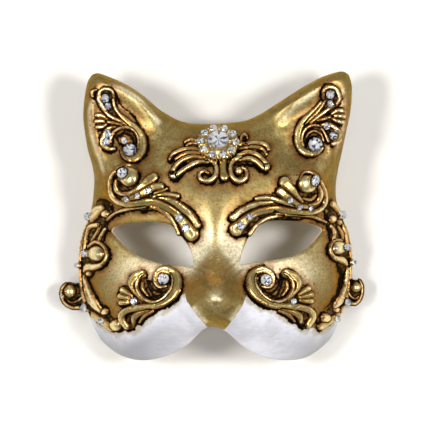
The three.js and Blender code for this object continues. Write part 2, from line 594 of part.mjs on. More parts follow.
function faceHeight(x, y) {
  const row = rowAt(y);
  const across = Math.min(Math.abs(x - row.middle) / row.half, 1);
  const power = mix(SIDE_POWER, EAR_POWER, smoothstep(y, 0, EAR_BLEND.high));
  const sideRim = EAR_RIM_HEIGHT * smoothstep(y, SIDE_RISE.low, SIDE_RISE.high);
  let height = sideRim + (frontHeight(x, y) - sideRim) * Math.sqrt(1 - across ** power);
  const toTop = distanceTo(topSamples, x, y);
  const toSide = Math.min(Math.abs(x - row.left), Math.abs(row.right - x));
  height -= EAR_BOWL.deep * smoothstep(toSide, EAR_BOWL.lip, EAR_BOWL.far)
    * smoothstep(toTop, EAR_BOWL.lip, EAR_BOWL.far) * smoothstep(y, EAR_BOWL.low, EAR_BOWL.high)
    * smoothstep(Math.abs(x), EAR_BOWL.inner, EAR_BOWL.outer);
  height = fold(height, EAR_RIM_HEIGHT, toTop, TOP_FOLD);
  const bottomFold = mix(NOTCH_FOLD, LOBE_FOLD, smoothstep(Math.abs(x), LOBE_START, LOBE_MIDDLE));
  return fold(height, along(BOTTOM_RIM, Math.abs(x)), distanceTo(bottomSamples, x, y), bottomFold);
}

// Beyond the shoulder of the side wall, x goes on as the way down the wall
function onFace(x, y) {
  const row = rowAt(y);
  const side = Math.sign(x - row.middle);
  const reach = Math.abs(x - row.middle);
  const shoulder = WALL_START * row.half;
  if (reach <= shoulder || y > WALL_TOP) return new THREE.Vector3(x, y, faceHeight(x, y));
  const target = Math.max(faceHeight(row.middle + side * shoulder, y) - (reach - shoulder), 1);
  let near = shoulder;
  let far = row.half;
  for (let n = 0; n < WALL_SEARCH_STEPS; n += 1) {
    const half = (near + far) / 2;
    if (faceHeight(row.middle + side * half, y) > target) near = half;
    else far = half;
  }
  return new THREE.Vector3(row.middle + side * near, y, target);
}

function faceFrame(x, y) {
  const point = onFace(x, y);
  const across = onFace(x + SLOPE_REACH, y).sub(onFace(x - SLOPE_REACH, y));
  const up = onFace(x, y + SLOPE_REACH).sub(onFace(x, y - SLOPE_REACH));
  return { point, normal: across.cross(up).normalize() };
}

// The shell, as a sheet of cells between its four edges

// Cells crowd towards the edges, where the sheet folds
const easing = (t) => mix(t, (1 - Math.cos(Math.PI * t)) / 2, CROWDING);

function sheetPoint(u, v) {
  const [bottom, top, left, right] = [
    bottomLine.getPointAt(u), topLine.getPointAt(u), leftLine.getPointAt(v), rightLine.getPointAt(v),
  ];
  const [bl, br, tl, tr] = [
    leftLine.getPointAt(0), rightLine.getPointAt(0), leftLine.getPointAt(1), rightLine.getPointAt(1),
  ];
  const blend = (axis) => mix(bottom[axis], top[axis], v) + mix(left[axis], right[axis], u)
    - mix(mix(bl[axis], br[axis], u), mix(tl[axis], tr[axis], u), v);
  return [blend('x'), blend('y')];
}

const sheet = [];
for (let j = 0; j <= ROWS; j += 1) {
  for (let i = 0; i <= COLUMNS; i += 1) {
    const [x, y] = sheetPoint(easing(i / COLUMNS), easing(j / ROWS));
    sheet.push(new THREE.Vector3(x, y, faceHeight(x, y)));
  }
}
const cell = (i, j) => j * (COLUMNS + 1) + i;

// The rim as grid places, anticlockwise from the lower left corner
const rimLoop = [];
for (let i = 0; i < COLUMNS; i += 1) rimLoop.push(cell(i, 0));
for (let j = 0; j < ROWS; j += 1) rimLoop.push(cell(COLUMNS, j));
for (let i = COLUMNS; i > 0; i -= 1) rimLoop.push(cell(i, ROWS));
for (let j = ROWS; j > 0; j -= 1) rimLoop.push(cell(0, j));

const sheetNormals = sheet.map((point, n) => {
  const i = n % (COLUMNS + 1);
  const j = Math.floor(n / (COLUMNS + 1));
  if (i === 0 || j === 0 || i === COLUMNS || j === ROWS) return new THREE.Vector3();
  const across = sheet[cell(i + 1, j)].clone().sub(sheet[cell(i - 1, j)]);
  const up = sheet[cell(i, j + 1)].clone().sub(sheet[cell(i, j - 1)]);
  return across.cross(up).normalize();
});
rimLoop.forEach((place, n) => {
  const next = sheet[rimLoop[(n + 1) % rimLoop.length]];
  const last = sheet[rimLoop[(n + rimLoop.length - 1) % rimLoop.length]];
  sheetNormals[place].set(next.y - last.y, last.x - next.x, 0).normalize();
});

function thicknessAt(point) {
  const leftTip = Math.hypot(point.x - leftSamples.at(-1).x, point.y - leftSamples.at(-1).y);
  const rightTip = Math.hypot(point.x - rightSamples.at(-1).x, point.y - rightSamples.at(-1).y);
  return mix(TIP_THICKNESS, SHELL_THICKNESS, smoothstep(Math.min(leftTip, rightTip), 1, TIP_REACH));
}

// The solid between the sheet moved out by one amount and in by its thickness
function sheetSolid(outward) {
  const count = sheet.length;
  const positions = [];
  for (const reach of [() => outward, (point) => -thicknessAt(point)]) {
    sheet.forEach((point, n) => {
      const moved = point.clone().addScaledVector(sheetNormals[n], reach(point));
      positions.push(moved.x, moved.y, moved.z);
    });
  }
  const faces = [];
  const quad = (a, b, c, d) => faces.push(a, b, c, a, c, d);
  for (let j = 0; j < ROWS; j += 1) {
    for (let i = 0; i < COLUMNS; i += 1) {
      const [a, b, c, d] = [cell(i, j), cell(i + 1, j), cell(i + 1, j + 1), cell(i, j + 1)];
      quad(a, b, c, d);
      quad(count + d, count + c, count + b, count + a);
    }
  }
  rimLoop.forEach((place, n) => {
    const next = rimLoop[(n + 1) % rimLoop.length];
    quad(next, place, count + place, count + next);
  });
  const geometry = new THREE.BufferGeometry();
  geometry.setAttribute('position', new THREE.Float32BufferAttribute(positions, 3));
  geometry.setIndex(faces);
  return solidOf(geometry);
}

function eyeSolid(outline) {
  const loop = curveOf([...outline, outline[0]]).getPoints(outline.length * 2).slice(0, -1);
  const shape = new THREE.Shape(loop);
  const geometry = new THREE.ExtrudeGeometry(shape, { depth: CUTTER_HEIGHT, bevelEnabled: false });
  return solidOf(geometry);
}

// Ribs and domes of a cast

function widthAt(wide, t) {
  const place = t * (wide.length - 1);
  const k = Math.min(Math.floor(place), wide.length - 2);
  return mix(wide[k], wide[k + 1], place - k);
}

// A ridge of three-sided section, or a flat floor of four, along its line
function ribSolid(one, frameAt) {
  const curve = curveOf(one.line);
  const count = Math.ceil((one.line.length - 1) * (one.flat ? 1 : RIB_STEPS));
  const tops = one.flat ? [-1, 1] : [0];
  const sides = 2 + tops.length;
  const positions = [];
  for (let n = 0; n <= count; n += 1) {
    const t = n / count;
    const at = curve.getPoint(t);
    const heading = curve.getTangent(t);
    const half = widthAt(one.wide, t) / 2;
    const { point, normal } = frameAt(at.x, at.y);
    const next = at.clone().addScaledVector(heading, SLOPE_REACH);
    const ahead = frameAt(next.x, next.y).point.sub(point);
    const sideways = normal.clone().cross(ahead).normalize();
    const section = [[half, -SINK], [-half, -SINK], ...tops.map((top) => [top * half, one.high])];
    for (const [out, lift] of section) {
      const corner = point.clone().addScaledVector(sideways, out).addScaledVector(normal, lift);
      positions.push(corner.x, corner.y, corner.z);
    }
  }
  const faces = [];
  const last = sides * count;
  for (let k = 2; k < sides; k += 1) faces.push(0, k - 1, k, last, last + k, last + k - 1);
  for (let n = 0; n < count; n += 1) {
    for (let k = 0; k < sides; k += 1) {
      const [a, b] = [sides * n + k, sides * n + ((k + 1) % sides)];
      faces.push(a, a + sides, b, b, a + sides, b + sides);
    }
  }
  const geometry = new THREE.BufferGeometry();
  geometry.setAttribute('position', new THREE.Float32BufferAttribute(positions, 3));
  geometry.setIndex(faces);
  return solidOf(geometry);
}

function turned(geometry, { point, normal }, lift) {
  const turn = new THREE.Quaternion().setFromUnitVectors(new THREE.Vector3(0, 0, 1), normal);
  const place = point.clone().addScaledVector(normal, lift);
  return geometry.applyQuaternion(turn).translate(place.x, place.y, place.z);
}

function domeSolid(one, frameAt) {
  const [around, rings] = one.radius > 3 ? [8, 6] : [6, 4];
  const ball = new THREE.SphereGeometry(1, around, rings).rotateX(Math.PI / 2);
  ball.scale(one.radius, one.radius, one.high);
  const position = ball.attributes.position;
  for (let n = 0; n < position.count; n += 1) position.setZ(n, Math.max(position.getZ(n), -SINK));
  return solidOf(turned(ball, frameAt(...one.at), 0));
}

// A short upright prism on the face, from one height to another
function drum(frame, radius, low, high, sides, tip = radius) {
  const geometry = new THREE.CylinderGeometry(tip, radius, high - low, sides).rotateX(Math.PI / 2);
  return turned(geometry, frame, (low + high) / 2);
}

const castSolid = (list, frameAt) => list.map((one) => (one.line ? ribSolid : domeSolid)(one, frameAt));
const joined = (solids) => solids.reduce((sum, next) => sum.add(next));

// The cast shared by the cheeks, moved into its place
function placedCast({ at, across, up }) {
  const move = ([x, y]) => [at[0] + x * across[0] + y * up[0], at[1] + x * across[1] + y * up[1]];
  return LEAF_SCROLL.map((one) => ({ ...one, line: one.line.map(move) }));
}

// A snail that faces forward, on a thick disc that reaches out of the side wall
function snailSolids(side) {
  const { at, across, dome: bulge } = SNAILS[side];
  const frameAt = (x, y) => ({
    point: new THREE.Vector3(x, y, SNAIL.high), normal: new THREE.Vector3(0, 0, 1),
  });
  const beside = ([x, y]) => [at[0] + x * across * SNAIL.radius, at[1] + y * SNAIL.radius];
  const edge = rib(3, [1.6, 2.2, 2.4, 2.4, 2], SNAIL_RING.map(beside));
  return [
    ribSolid(edge, frameAt),
    ribSolid(floor([5, 5], SNAIL_ARM.map(beside)), frameAt),
    ribSolid(floor([6, 6], SNAIL_LOBE.map(beside)), frameAt),
    domeSolid(dome(SNAIL.dome, bulge, at), frameAt),
    solidOf(drum(frameAt(...at), bulge + SNAIL.margin, -SNAIL.thick / 2, SNAIL.thick / 2, SNAIL.sides)),
  ];
}

// Everything in its place

const shell = sheetSolid(0);
const keepClear = sheetSolid(GAP);
addPiece('papier_mache_shell', geometryOf(
  shell.subtract(eyeSolid(LEFT_EYE)).subtract(eyeSolid(RIGHT_EYE)),
), 'gold');

// Each cast is one body, without the crumbs that trimming it to the shell leaves
function trimmed(solid) {
  const bodies = solid.subtract(keepClear).decompose();
  return bodies.reduce((largest, body) => (body.volume() > largest.volume() ? body : largest));
}

// Each stone is lifted off the face until it rests on the ribs below it
function addStones(name, cast) {
  const below = cast.add(keepClear);
  RHINESTONES[name].forEach(([x, y, radius], n) => {
    const frame = faceFrame(x, y);
    const seatAt = (high) => solidOf(drum(frame, radius + GAP, high - GAP, high, STONE_SIDES));
    let seat = FLOOR_HIGH;
    while (below.intersect(seatAt(seat)).volume() > 0) seat += SEAT_STEP;
    const [top, table] = [seat + radius * STONE_HEIGHT, radius * STONE_TABLE];
    const stone = drum(frame, radius, seat, top, STONE_SIDES, table);
    addPiece(`${name}_rhinestone_${n + 1}`, stone, 'crystal');
  });
}

const casts = {
  left_ear: castSolid(LEFT_EAR, faceFrame),
  right_ear: castSolid(RIGHT_EAR, faceFrame),
  left_brow: castSolid(LEFT_BROW, faceFrame),
  right_brow: castSolid(RIGHT_BROW, faceFrame),
  left_cheek: castSolid(placedCast(CAST_PLACES.left_cheek), faceFrame),
  right_cheek: castSolid(placedCast(CAST_PLACES.right_cheek), faceFrame),
  left_side: [...castSolid([...LEFT_SIDE, SIDE_BANDS.left], faceFrame), ...snailSolids('left')],
  right_side: [...castSolid([...RIGHT_SIDE, SIDE_BANDS.right], faceFrame), ...snailSolids('right')],
};
for (const [name, solids] of Object.entries(casts)) {
  const cast = trimmed(joined(solids));
  addPiece(`${name}_scroll`, geometryOf(cast), 'gold');
  addStones(name, cast);
}

// The plume on the forehead, the brooch on it and the brooch's crystals
const broochFrame = faceFrame(BROOCH.x, BROOCH.y);
const broochTop = BROOCH.lift + BROOCH.thick;
const broochBody = solidOf(drum(broochFrame, BROOCH.radius, BROOCH.lift, broochTop, BROOCH.sides));
const broochRoom = solidOf(drum(
  broochFrame, BROOCH.radius + GAP, BROOCH.lift - GAP, CUTTER_HEIGHT, BROOCH.sides,
));
const plume = joined(castSolid(FOREHEAD_PLUME, faceFrame)).subtract(broochRoom);
addPiece('forehead_plume', geometryOf(trimmed(plume)), 'gold');

const upright = new THREE.Vector3(0, 0, 1);
const broochTurn = new THREE.Quaternion().setFromUnitVectors(upright, broochFrame.normal);
function broochPlace(angle, ring) {
  const offset = new THREE.Vector3(Math.cos(angle) * ring, Math.sin(angle) * ring, 0);
  const point = broochFrame.point.clone().add(offset.applyQuaternion(broochTurn));
  return { point, normal: broochFrame.normal };
}
const crystals = [{ name: 'brooch_centre_crystal', place: broochPlace(0, 0), radius: BROOCH.centre }];
for (let n = 0; n < BROOCH.crystals; n += 1) {
  const angle = ((n + BROOCH.turn) / BROOCH.crystals) * 2 * Math.PI;
  crystals.push({
    name: `brooch_crystal_${n + 1}`, place: broochPlace(angle, BROOCH.ring), radius: BROOCH.small,
  });
}
const crystalFloor = broochTop - BROOCH.deep;
const pockets = crystals.map(({ place, radius }) => (
  solidOf(drum(place, radius + GAP / 2, crystalFloor - GAP, CUTTER_HEIGHT, STONE_SIDES))));
addPiece('brooch_setting', geometryOf(broochBody.subtract(joined(pockets))), 'brass');
for (const { name, place, radius } of crystals) {
  const top = broochTop + radius * BROOCH.crown;
  const crystal = drum(place, radius - GAP / 2, crystalFloor, top, STONE_SIDES, radius * STONE_TABLE);
  addPiece(name, crystal, 'crystal');
}

// The origin goes under the middle of the mask, on the table
const box = new THREE.Box3().setFromObject(mask);
mask.position.set(-(box.min.x + box.max.x) / 2, -(box.min.y + box.max.y) / 2, -box.min.z);

export default mask;
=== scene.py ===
import math

import bpy
import numpy as np
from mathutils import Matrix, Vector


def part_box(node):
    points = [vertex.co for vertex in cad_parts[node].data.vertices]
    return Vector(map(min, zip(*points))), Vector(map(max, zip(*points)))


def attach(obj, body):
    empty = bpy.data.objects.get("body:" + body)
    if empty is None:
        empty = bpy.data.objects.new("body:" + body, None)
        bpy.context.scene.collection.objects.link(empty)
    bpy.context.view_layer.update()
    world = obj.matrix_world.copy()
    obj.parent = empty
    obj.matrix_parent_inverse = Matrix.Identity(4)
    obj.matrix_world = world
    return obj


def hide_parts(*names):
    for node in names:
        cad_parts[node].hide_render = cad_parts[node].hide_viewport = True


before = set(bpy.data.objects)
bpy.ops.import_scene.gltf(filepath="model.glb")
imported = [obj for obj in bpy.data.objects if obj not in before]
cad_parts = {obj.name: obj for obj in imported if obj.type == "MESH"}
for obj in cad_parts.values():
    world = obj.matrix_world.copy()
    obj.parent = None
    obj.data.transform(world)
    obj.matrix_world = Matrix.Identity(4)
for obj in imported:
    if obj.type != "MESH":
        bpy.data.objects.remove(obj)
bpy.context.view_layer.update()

MM = 0.001
SHELL_NODE = "papier_mache_shell"

# The form of the face, as the solids have it
SHELL_THICKNESS = 2.4
TIP_THICKNESS = 0.9
TIP_REACH = 11
FACE_PROFILE = [
    (-78, 38), (-66, 46), (-56, 51), (-44, 54), (-30, 54), (-15, 53), (0, 55), (14, 56),
    (26, 53), (36, 47), (44, 40), (50, 34), (64, 26), (78, 18),
]
EAR_FRONT = [(10, 50), (30, 46), (50, 43), (78, 37)]
EAR_BLEND = dict(inner=14, outer=42, low=16, high=46)
NOSE_RIDGE = [
    (-66, 5), (-59, 11.5), (-53, 17), (-47, 20), (-42, 20.5), (-36, 18), (-26, 11.5), (-15, 7),
    (-4, 4.5), (8, 2), (22, 0),
]
NOSE_BREADTH = [(-66, 19), (-50, 17.5), (-40, 15.5), (-28, 12), (-15, 9.5), (0, 10), (22, 14)]
NOSE_POWER = 2.2
NOSE_TIP = dict(x=0.3, y=-43.4, radius=6, high=2.6)
CHEEK_PAD = dict(x=24, y=-54, wide=20, tall=13, high=5)
EYE_SOCKET = dict(x=35, y=-12, wide=27, tall=14, high=-2.5)
BROW_RIDGE = dict(x=34, y=8, wide=24, tall=6, high=2)
SIDE_POWER = 2.6
EAR_POWER = 12
EAR_RIM_HEIGHT = 27
SIDE_RISE = dict(low=12, high=62)
BOTTOM_RIM = [
    (0, 53), (6, 50), (12, 44), (20, 38), (30, 32), (40, 25), (50, 15), (57, 6), (62, 0),
]
TOP_FOLD = 4.6
NOTCH_FOLD = 7
LOBE_FOLD = 16
LOBE_START = 5
LOBE_MIDDLE = 24
WALL_START = 0.955
WALL_TOP = 30
EAR_BOWL = dict(deep=5, lip=3.5, far=13, low=14, high=36, inner=26, outer=40)
WALL_FOOT = 1

# What is finer than the solids: rounded edges of the eye holes, and waves as (height, size, seed)
EYE_LIP = 1.3
SHELL_WAVES = [(0.16, 9, 1), (0.1, 4, 2)]
WAVES_FADE = 5

# The shell's grid, crowded towards its edges, and how close to an eye hole it is moved onto the edge
SHELL_COLUMNS = 230
SHELL_ROWS = 200
CROWDING = 0.6
EDGE_SAMPLES = 161
EYE_SNAP = 0.25
WALL_SEARCH_STEPS = 16
# The cells of the casts in millimetres, and from how many degrees on an edge is sharp
RELIEF_CELL = 0.3
SMOOTH_TO = 50
# The lattice of a ripple, and what keeps its places positive
RIPPLE_CELLS = 64
RIPPLE_START = 500
# Keeps divisions off nothing, and a distance that counts as far away
TINY = 1e-12
FAR = 9.0

# The form of the casts: the ground between their ridges, how deep they are sunk and backed,
# from what height their cells are kept, the slope of their flanks and the fillet where two meet
GROUND = 0.35
SUNK = 1.0
BACKING = 0.3
KEPT_FROM = -0.4
FLANK = 2.2
JOIN = 0.25
# The seam between two ridges, and how much the whole is softened
SEAM_DEEP = 0.4
SEAM_WIDE = 1.3
SOFTEN = 0.7
# A ridge's crown is wider than given, blunter than a dome and, where wide, hollowed along its middle
FULLNESS = 1.12
CROWN_POWER = 2.6
DOME_POWER = 2
DISH = dict(deep=0.14, sharp=2.6, low=1.3, high=2.2)
# It is lower where it is narrower, and its width and its surface waver
NARROW = dict(least=0.62, more=0.38)
WIDTH_WAVES = [(0.06, 3, 5)]
CAST_WAVES = [(0.06, 2.2, 3), (0.04, 0.9, 4)]
WAVES_FROM = 0.2
# Margins around a ridge in its cast, around a cast, and around a ridge on the shell
FORM_MARGIN = 4
GRID_MARGIN = 6
RIB_REACH = 8

# Stones: how deep one is below its girdle and how its bed fits it, as shares of its radius,
# but rank is a percentile of the heights under it, and least, below, above and clear are millimetres
PAVILION = 0.34
BED = dict(
    under=0.9, rank=70, least=0.2, collar=1.1, reach=1.5, below=0.05, above=0.1, pocket=1.03, clear=0.08,
)
# Their rings of corners from the table down, as (radius, height, turn in steps)
GEM_RINGS = [(0.56, 0.36, 0), (0.8, 0.24, 0.5), (1, 0.05, 0), (1, -0.02, 0), (0.5, -0.26, 0.5)]
# The side stones are turned to the front and stand further out, with fewer facets painted as dark
# reflections
SIDE_STONE_TIP = 2.4
SIDE_STONE_LIFT = 0.6
TIPPED_LEAST_SPARKLE = 0.15


def rib(high, wide, line):
    return dict(high=high, wide=wide, line=line)


def floor(wide, line):
    return dict(wide=wide, line=line)


def dome(high, radius, at):
    return dict(high=high, radius=radius, at=at)


# The casts, each a list of its ridges, domes and the ground between them
LEAF_SCROLL = [
    # band
    rib(2.1, [1.3, 2.1, 2.6, 3.7, 4.2, 4.5, 4.2, 3.4, 3.2, 3.4, 2.9], [
        (2.1, -3.9), (-1.6, -4.2), (-3.7, -1.3), (-3.4, 2.4), (-0.5, 5), (3.7, 4.5), (7.1, 1.8),
        (8.1, -2.1), (6.6, -6.8), (2.6, -11), (-3.2, -13.7), (-10, -14.7), (-16.3, -15.5),
        (-20.5, -17.6), (-21.3, -21), (-18.6, -24.9),
    ]),
    # inner lip
    rib(2.7, [1.3, 1.7, 1.9, 1.7, 1.6], [
        (4.5, 2.9), (6, -1.1), (5, -5.5), (1.6, -10), (-3.4, -12.1), (-8.4, -10.8), (-11.8, -7.4),
        (-13.1, -3.2), (-11.6, 0.8), (-9.5, 2.6),
    ]),
    # outer lobe
    rib(2, [4.7, 4.2, 2.6, 1.8], [
        (-10.8, 2.6), (-14.2, 1.1), (-16.3, -2.4), (-14.7, -6.3), (-10, -11),
    ]),
    # crescent
    rib(1.5, [1.3, 2.1, 1.1], [(-10.5, -1.6), (-10.2, -5.2), (-7.4, -8.9)]),
    # fan lobes
    rib(1.6, [1.6, 2.8, 3.2], [(-16, -8.7), (-18.4, -7), (-20.8, -5.8)]),
    rib(1.6, [1.6, 2.8, 3.2], [(-16, -10.2), (-18.9, -9.6), (-21.9, -8.9)]),
    rib(1.6, [1.6, 2.6, 2.8], [(-16, -11.8), (-18.7, -12.2), (-21.5, -12.3)]),
    # inner leaf
    rib(1.5, [1.6, 2.6, 3.2, 1.8], [(-5.8, -15.5), (-11, -17.3), (-14.7, -19.9), (-15, -23.1)]),
    # small leaf
    rib(1.2, [1.6, 1.8, 1.1], [(-5.2, -16.8), (-9.5, -19.2), (-12.1, -22.6)]),
    floor([4.2, 7.9, 7.4, 4.7], [(4.2, -2.1), (-1.6, -6.3), (-7.4, -5.2), (-11, -1.6)]),
    floor([4.7, 5.2, 4.7], [(-19.9, -6.3), (-17.9, -10.5), (-8.9, -13.7)]),
    floor([4.7, 5.2, 4.2], [(-7.4, -15.8), (-15.2, -18.4), (-16.8, -24.2)]),
]

LEFT_BROW = [
    dome(3.4, 5, (-45.1, 20.5)),
    # band
    rib(2.5, [0.8, 1.4, 1.8, 1.9, 2, 2.5, 3.2, 3.7, 3.7, 3.4, 3.6, 5, 7.4], [
        (-40.7, 23.1), (-44.9, 26.2), (-50.1, 24.9), (-53.8, 21), (-54.9, 15.8), (-53.6, 10.5),
        (-49.6, 7.4), (-43.3, 6.6), (-36.5, 7.6), (-31.2, 7.6), (-25.8, 5.2), (-20.7, 1.8),
        (-16.5, -3.4), (-12.4, -9.2),
    ]),
    # inner coil
    rib(2.2, [1.3, 2.1, 2.1, 2.6, 4.2, 4.2], [
        (-51.5, 18.9), (-51.7, 14.7), (-49.1, 12.1), (-44.4, 12.3), (-39.1, 15.2), (-34.9, 18.1),
        (-32, 20.2),
    ]),
    # stone leaf
    rib(1.9, [2.1, 2.9, 3.7, 3.9, 3.2], [
        (-48, 9.2), (-42.8, 10.2), (-37, 12.6), (-32.3, 15.2), (-28.4, 15.5),
    ]),
    # small leaf
    rib(1.7, [1.6, 1.8, 1.3], [(-31.8, 11.8), (-28.4, 12.9), (-25.2, 14.2)]),
    # top leaf
    rib(2, [1.8, 2.6, 2.4], [(-32.3, 10.2), (-26, 11.3), (-19.7, 10.5)]),
    # outer band
    rib(2.5, [1.6, 2.6, 3.4, 3.8, 3.8, 3.4], [
        (-30.2, 10.2), (-23.7, 8.7), (-17.5, 4.9), (-12.3, 0.2), (-8.9, -4.7),
    ]),
    # thin rib
    rib(1.8, [1.6, 2, 1.9, 2.1], [
        (-33.6, 5.5), (-28.1, 3.4), (-23.6, -0.3), (-21, -4.7), (-19.2, -9.2),
    ]),
    # lower rim
    rib(1.9, [1.3, 1.8, 2.1, 1.8], [(-56.2, -2.1), (-51.2, 2.1), (-44.4, 4.5), (-36.5, 5.8)]),
    floor([5.2, 6.3, 6.3, 4.7], [(-53.8, 15.2), (-47, 14.2), (-38.6, 13.1), (-29.1, 13.1)]),
    floor([6.3, 7.4, 7.9, 7.4], [(-37.5, 6.3), (-27.6, 7.4), (-19.7, 1.6), (-14.4, -7.9)]),
]

RIGHT_BROW = [
    dome(3.4, 4.6, (47.5, 16.8)),
    # band
    rib(2.5, [0.8, 1.4, 1.8, 1.9, 2, 2.3, 2.9, 3.7, 3.7, 3.5, 3.7, 5, 7], [
        (43.8, 19.4), (46.5, 22.6), (51.2, 21.8), (55.1, 17.3), (57.2, 11.6), (56.7, 6.3),
        (52.8, 2.6), (45.9, 1.8), (39.1, 2.9), (32.3, 3.9), (26, 3.4), (19.9, 1.3), (14.9, -2.3),
        (10.8, -6.7),
    ]),
    # inner coil
    rib(2.2, [1.6, 2.4, 2.1, 1.6], [(53.3, 16.3), (54.6, 12.1), (53, 7.9), (48.6, 6)]),
    # inner hook
    rib(1.6, [1.1, 1.8, 1.3], [(45.4, 9.7), (49.1, 8.9), (52, 11.3)]),
    # first leaf
    rib(2.2, [1.6, 2.6, 4.2, 5.5], [(44.9, 8.1), (42.3, 11), (39.4, 14.4), (36, 17.6)]),
    # stone leaf
    rib(1.9, [2.1, 2.9, 3.9, 4.2], [(48.6, 5), (43.3, 6), (38.1, 9.5), (33.9, 12.9)]),
    # third leaf
    rib(2, [1.6, 2.4, 2.4, 2.1], [(40.7, 6), (34.4, 8.1), (27.6, 9.7), (21.3, 9.2)]),
    # outer band
    rib(2.5, [1.7, 2.6, 3.3, 3.7], [(29.7, 7.9), (21.5, 6.8), (14.1, 3.6), (8.8, -0.6)]),
    # thin rib
    rib(1.8, [1.6, 2.2, 2.1, 2.4], [(35.4, 0.8), (28.1, -0.5), (22.3, -3.7), (17.9, -9.2)]),
    # lower rim
    rib(1.9, [1.3, 1.7, 1.8, 2.6], [(57.5, -3.4), (50.7, -0.5), (42.3, 0.8), (35.4, 1.1), (30.7, 2.9)]),
    floor([5.2, 7.4, 7.4, 4.7], [(55.4, 13.7), (48, 8.9), (39.6, 10), (31.8, 10)]),
    floor([4.7, 6.8, 10, 10.5, 8.9], [(44.4, 1.1), (36, 1.6), (26.5, 2.1), (19.2, -0.5), (13.4, -5.2)]),
]

LEFT_EAR = [
    # cup
    rib(2.1, [1.3, 1.6, 1.8, 2, 2.1, 2.4, 2.4, 2.1, 1.8, 1.3], [
        (-53, 62.5), (-54.3, 66.4), (-58, 67.2), (-60.9, 65.4), (-61.7, 62), (-60.5, 58.3),
        (-57.9, 54.6), (-54.1, 51.7), (-49.9, 49.8), (-45.9, 47.4),
    ]),
    # band
    rib(2.2, [1.6, 1.9, 2.4, 3.2, 3.9, 4.5, 4.5, 3.9, 3.2, 2.4, 1.7, 1.4], [
        (-53.5, 61.6), (-52.8, 57), (-49.8, 52.8), (-46, 49.5), (-42.2, 46.1), (-39.1, 42.2),
        (-38, 37.5), (-38.8, 33.4), (-41.2, 30.3), (-44.7, 29.1), (-48, 30.6), (-49.7, 34.1),
    ]),
    # inner lip
    rib(2.8, [1.4, 1.6, 1.7, 1.8, 1.7, 1.6, 1.5, 1.3], [
        (-54.7, 39.1), (-54.4, 42.3), (-52.2, 44.9), (-48.5, 46.4), (-44.6, 45.9), (-41.7, 43.4),
        (-40.5, 39.6), (-40.7, 35.4),
    ]),
    # lobe
    rib(1.9, [1.4, 2, 2.5, 2.7, 2.8, 2.6, 1.8], [
        (-52.8, 46.8), (-56.1, 46), (-58.6, 43.3), (-59.4, 39.8), (-58.6, 36.9), (-56, 35.2),
        (-53.1, 35.2),
    ]),
    # fan lobes
    rib(1.6, [1.5, 2.4, 2.6], [(-57.2, 50.9), (-59.9, 52.7), (-62.3, 52.9)]),
    rib(1.6, [1.5, 2.4, 2.6], [(-57.5, 49.5), (-60.1, 49.9), (-62.5, 49.9)]),
    rib(1.6, [1.5, 2.3, 2.4], [(-57.5, 48.2), (-59.9, 47), (-62, 46.8)]),
    # inner leaf
    rib(1.4, [1.8, 1.7, 1.2], [(-57.8, 49.6), (-53.3, 48.9), (-48.6, 47.6)]),
    # curl
    rib(1.5, [1.3, 1.6, 1.2], [(-64.4, 62.7), (-64.5, 65.1), (-62.7, 66.4)]),
    floor([6.3, 6.3, 4.2], [(-58, 62.5), (-56.4, 57.8), (-52.2, 53)]),
    floor([4.7, 6.8, 8.4, 6.8], [(-60.1, 49.9), (-54.3, 47.2), (-47, 41), (-44.4, 34.6)]),
    floor([4.7, 4.7], [(-56.4, 43.6), (-57, 37.8)]),
]

RIGHT_EAR = [
    # cup
    rib(2.1, [1.4, 1.7, 2, 2.1, 2.1, 1.9, 1.4], [
        (56.4, 62.2), (56.4, 66.2), (59.1, 68.2), (62.7, 67.5), (64.9, 64.8), (65.3, 61.2),
        (63.7, 58),
    ]),
    # leaves
    rib(2, [1.5, 2.1, 2.3, 2.2, 1.8], [(63.5, 58.3), (60.1, 56.4), (56.5, 54.1), (53, 51.5), (50, 49)]),
    rib(2, [1.6, 2.1, 2.3, 2.2, 1.8], [
        (57.3, 60.6), (55.3, 57), (52.6, 53.7), (49.4, 50.9), (46.8, 48.3),
    ]),
    # band
    rib(2.2, [1.6, 2.3, 2.9, 3.6, 3.7, 3.6, 3.5, 3.2, 2.6, 1.9, 1.4], [
        (55.2, 60.1), (52.6, 56.4), (48.8, 52.6), (45.4, 48.5), (43.5, 44.1), (43.3, 39.4),
        (44.6, 35.4), (47.5, 32.9), (51.1, 32.2), (54.3, 33.3), (56.6, 35.7),
    ]),
    # inner lip
    rib(2.8, [1.4, 1.6, 1.7, 1.7, 1.6, 1.4], [
        (46.1, 36.2), (45.4, 39.6), (45.9, 43.3), (47.9, 46), (51, 47.5), (54.7, 47.2),
    ]),
    # inner ring
    rib(1.8, [1.1, 1.3, 1.4, 1.4, 1.2], [
        (47.5, 41.2), (49.4, 43.9), (52.4, 44.6), (55.4, 42.7), (57, 39.4),
    ]),
    # lobe
    rib(2, [1.6, 2, 2.4, 2.6, 2.7, 2.1], [
        (54.3, 47.2), (58.5, 48.4), (62.4, 46.8), (64.4, 43.4), (64, 40.1), (61.5, 38),
    ]),
    # link
    rib(1.7, [1.5, 1.7, 1.5], [(55.7, 45.9), (58, 42.8), (59.4, 39.2)]),
    # fan lobes
    rib(1.6, [1.5, 2.4, 2.6], [(61.5, 53.3), (63.8, 55.2), (66.1, 55.4)]),
    rib(1.6, [1.5, 2.4, 2.6], [(61.7, 52.3), (64.3, 52.7), (66.7, 52.5)]),
    rib(1.6, [1.5, 2.3, 2.4], [(61.9, 51.1), (64.1, 50), (66.2, 49.6)]),
    # inner leaf
    rib(1.4, [1.3, 1.8, 1.6], [(53.8, 50.1), (58, 51.3), (62, 52.2)]),
    floor([6.3, 6.3, 5.2, 4.2], [(60.6, 64), (60.6, 58.8), (55.9, 54.6), (50.1, 49.9)]),
    floor([8.4, 9.5, 6.8, 4.7], [(49.1, 36.8), (52.2, 41.5), (58.5, 46.2), (63.8, 52)]),
    floor([5.2, 5.2], [(61.7, 44.6), (61.7, 41)]),
]

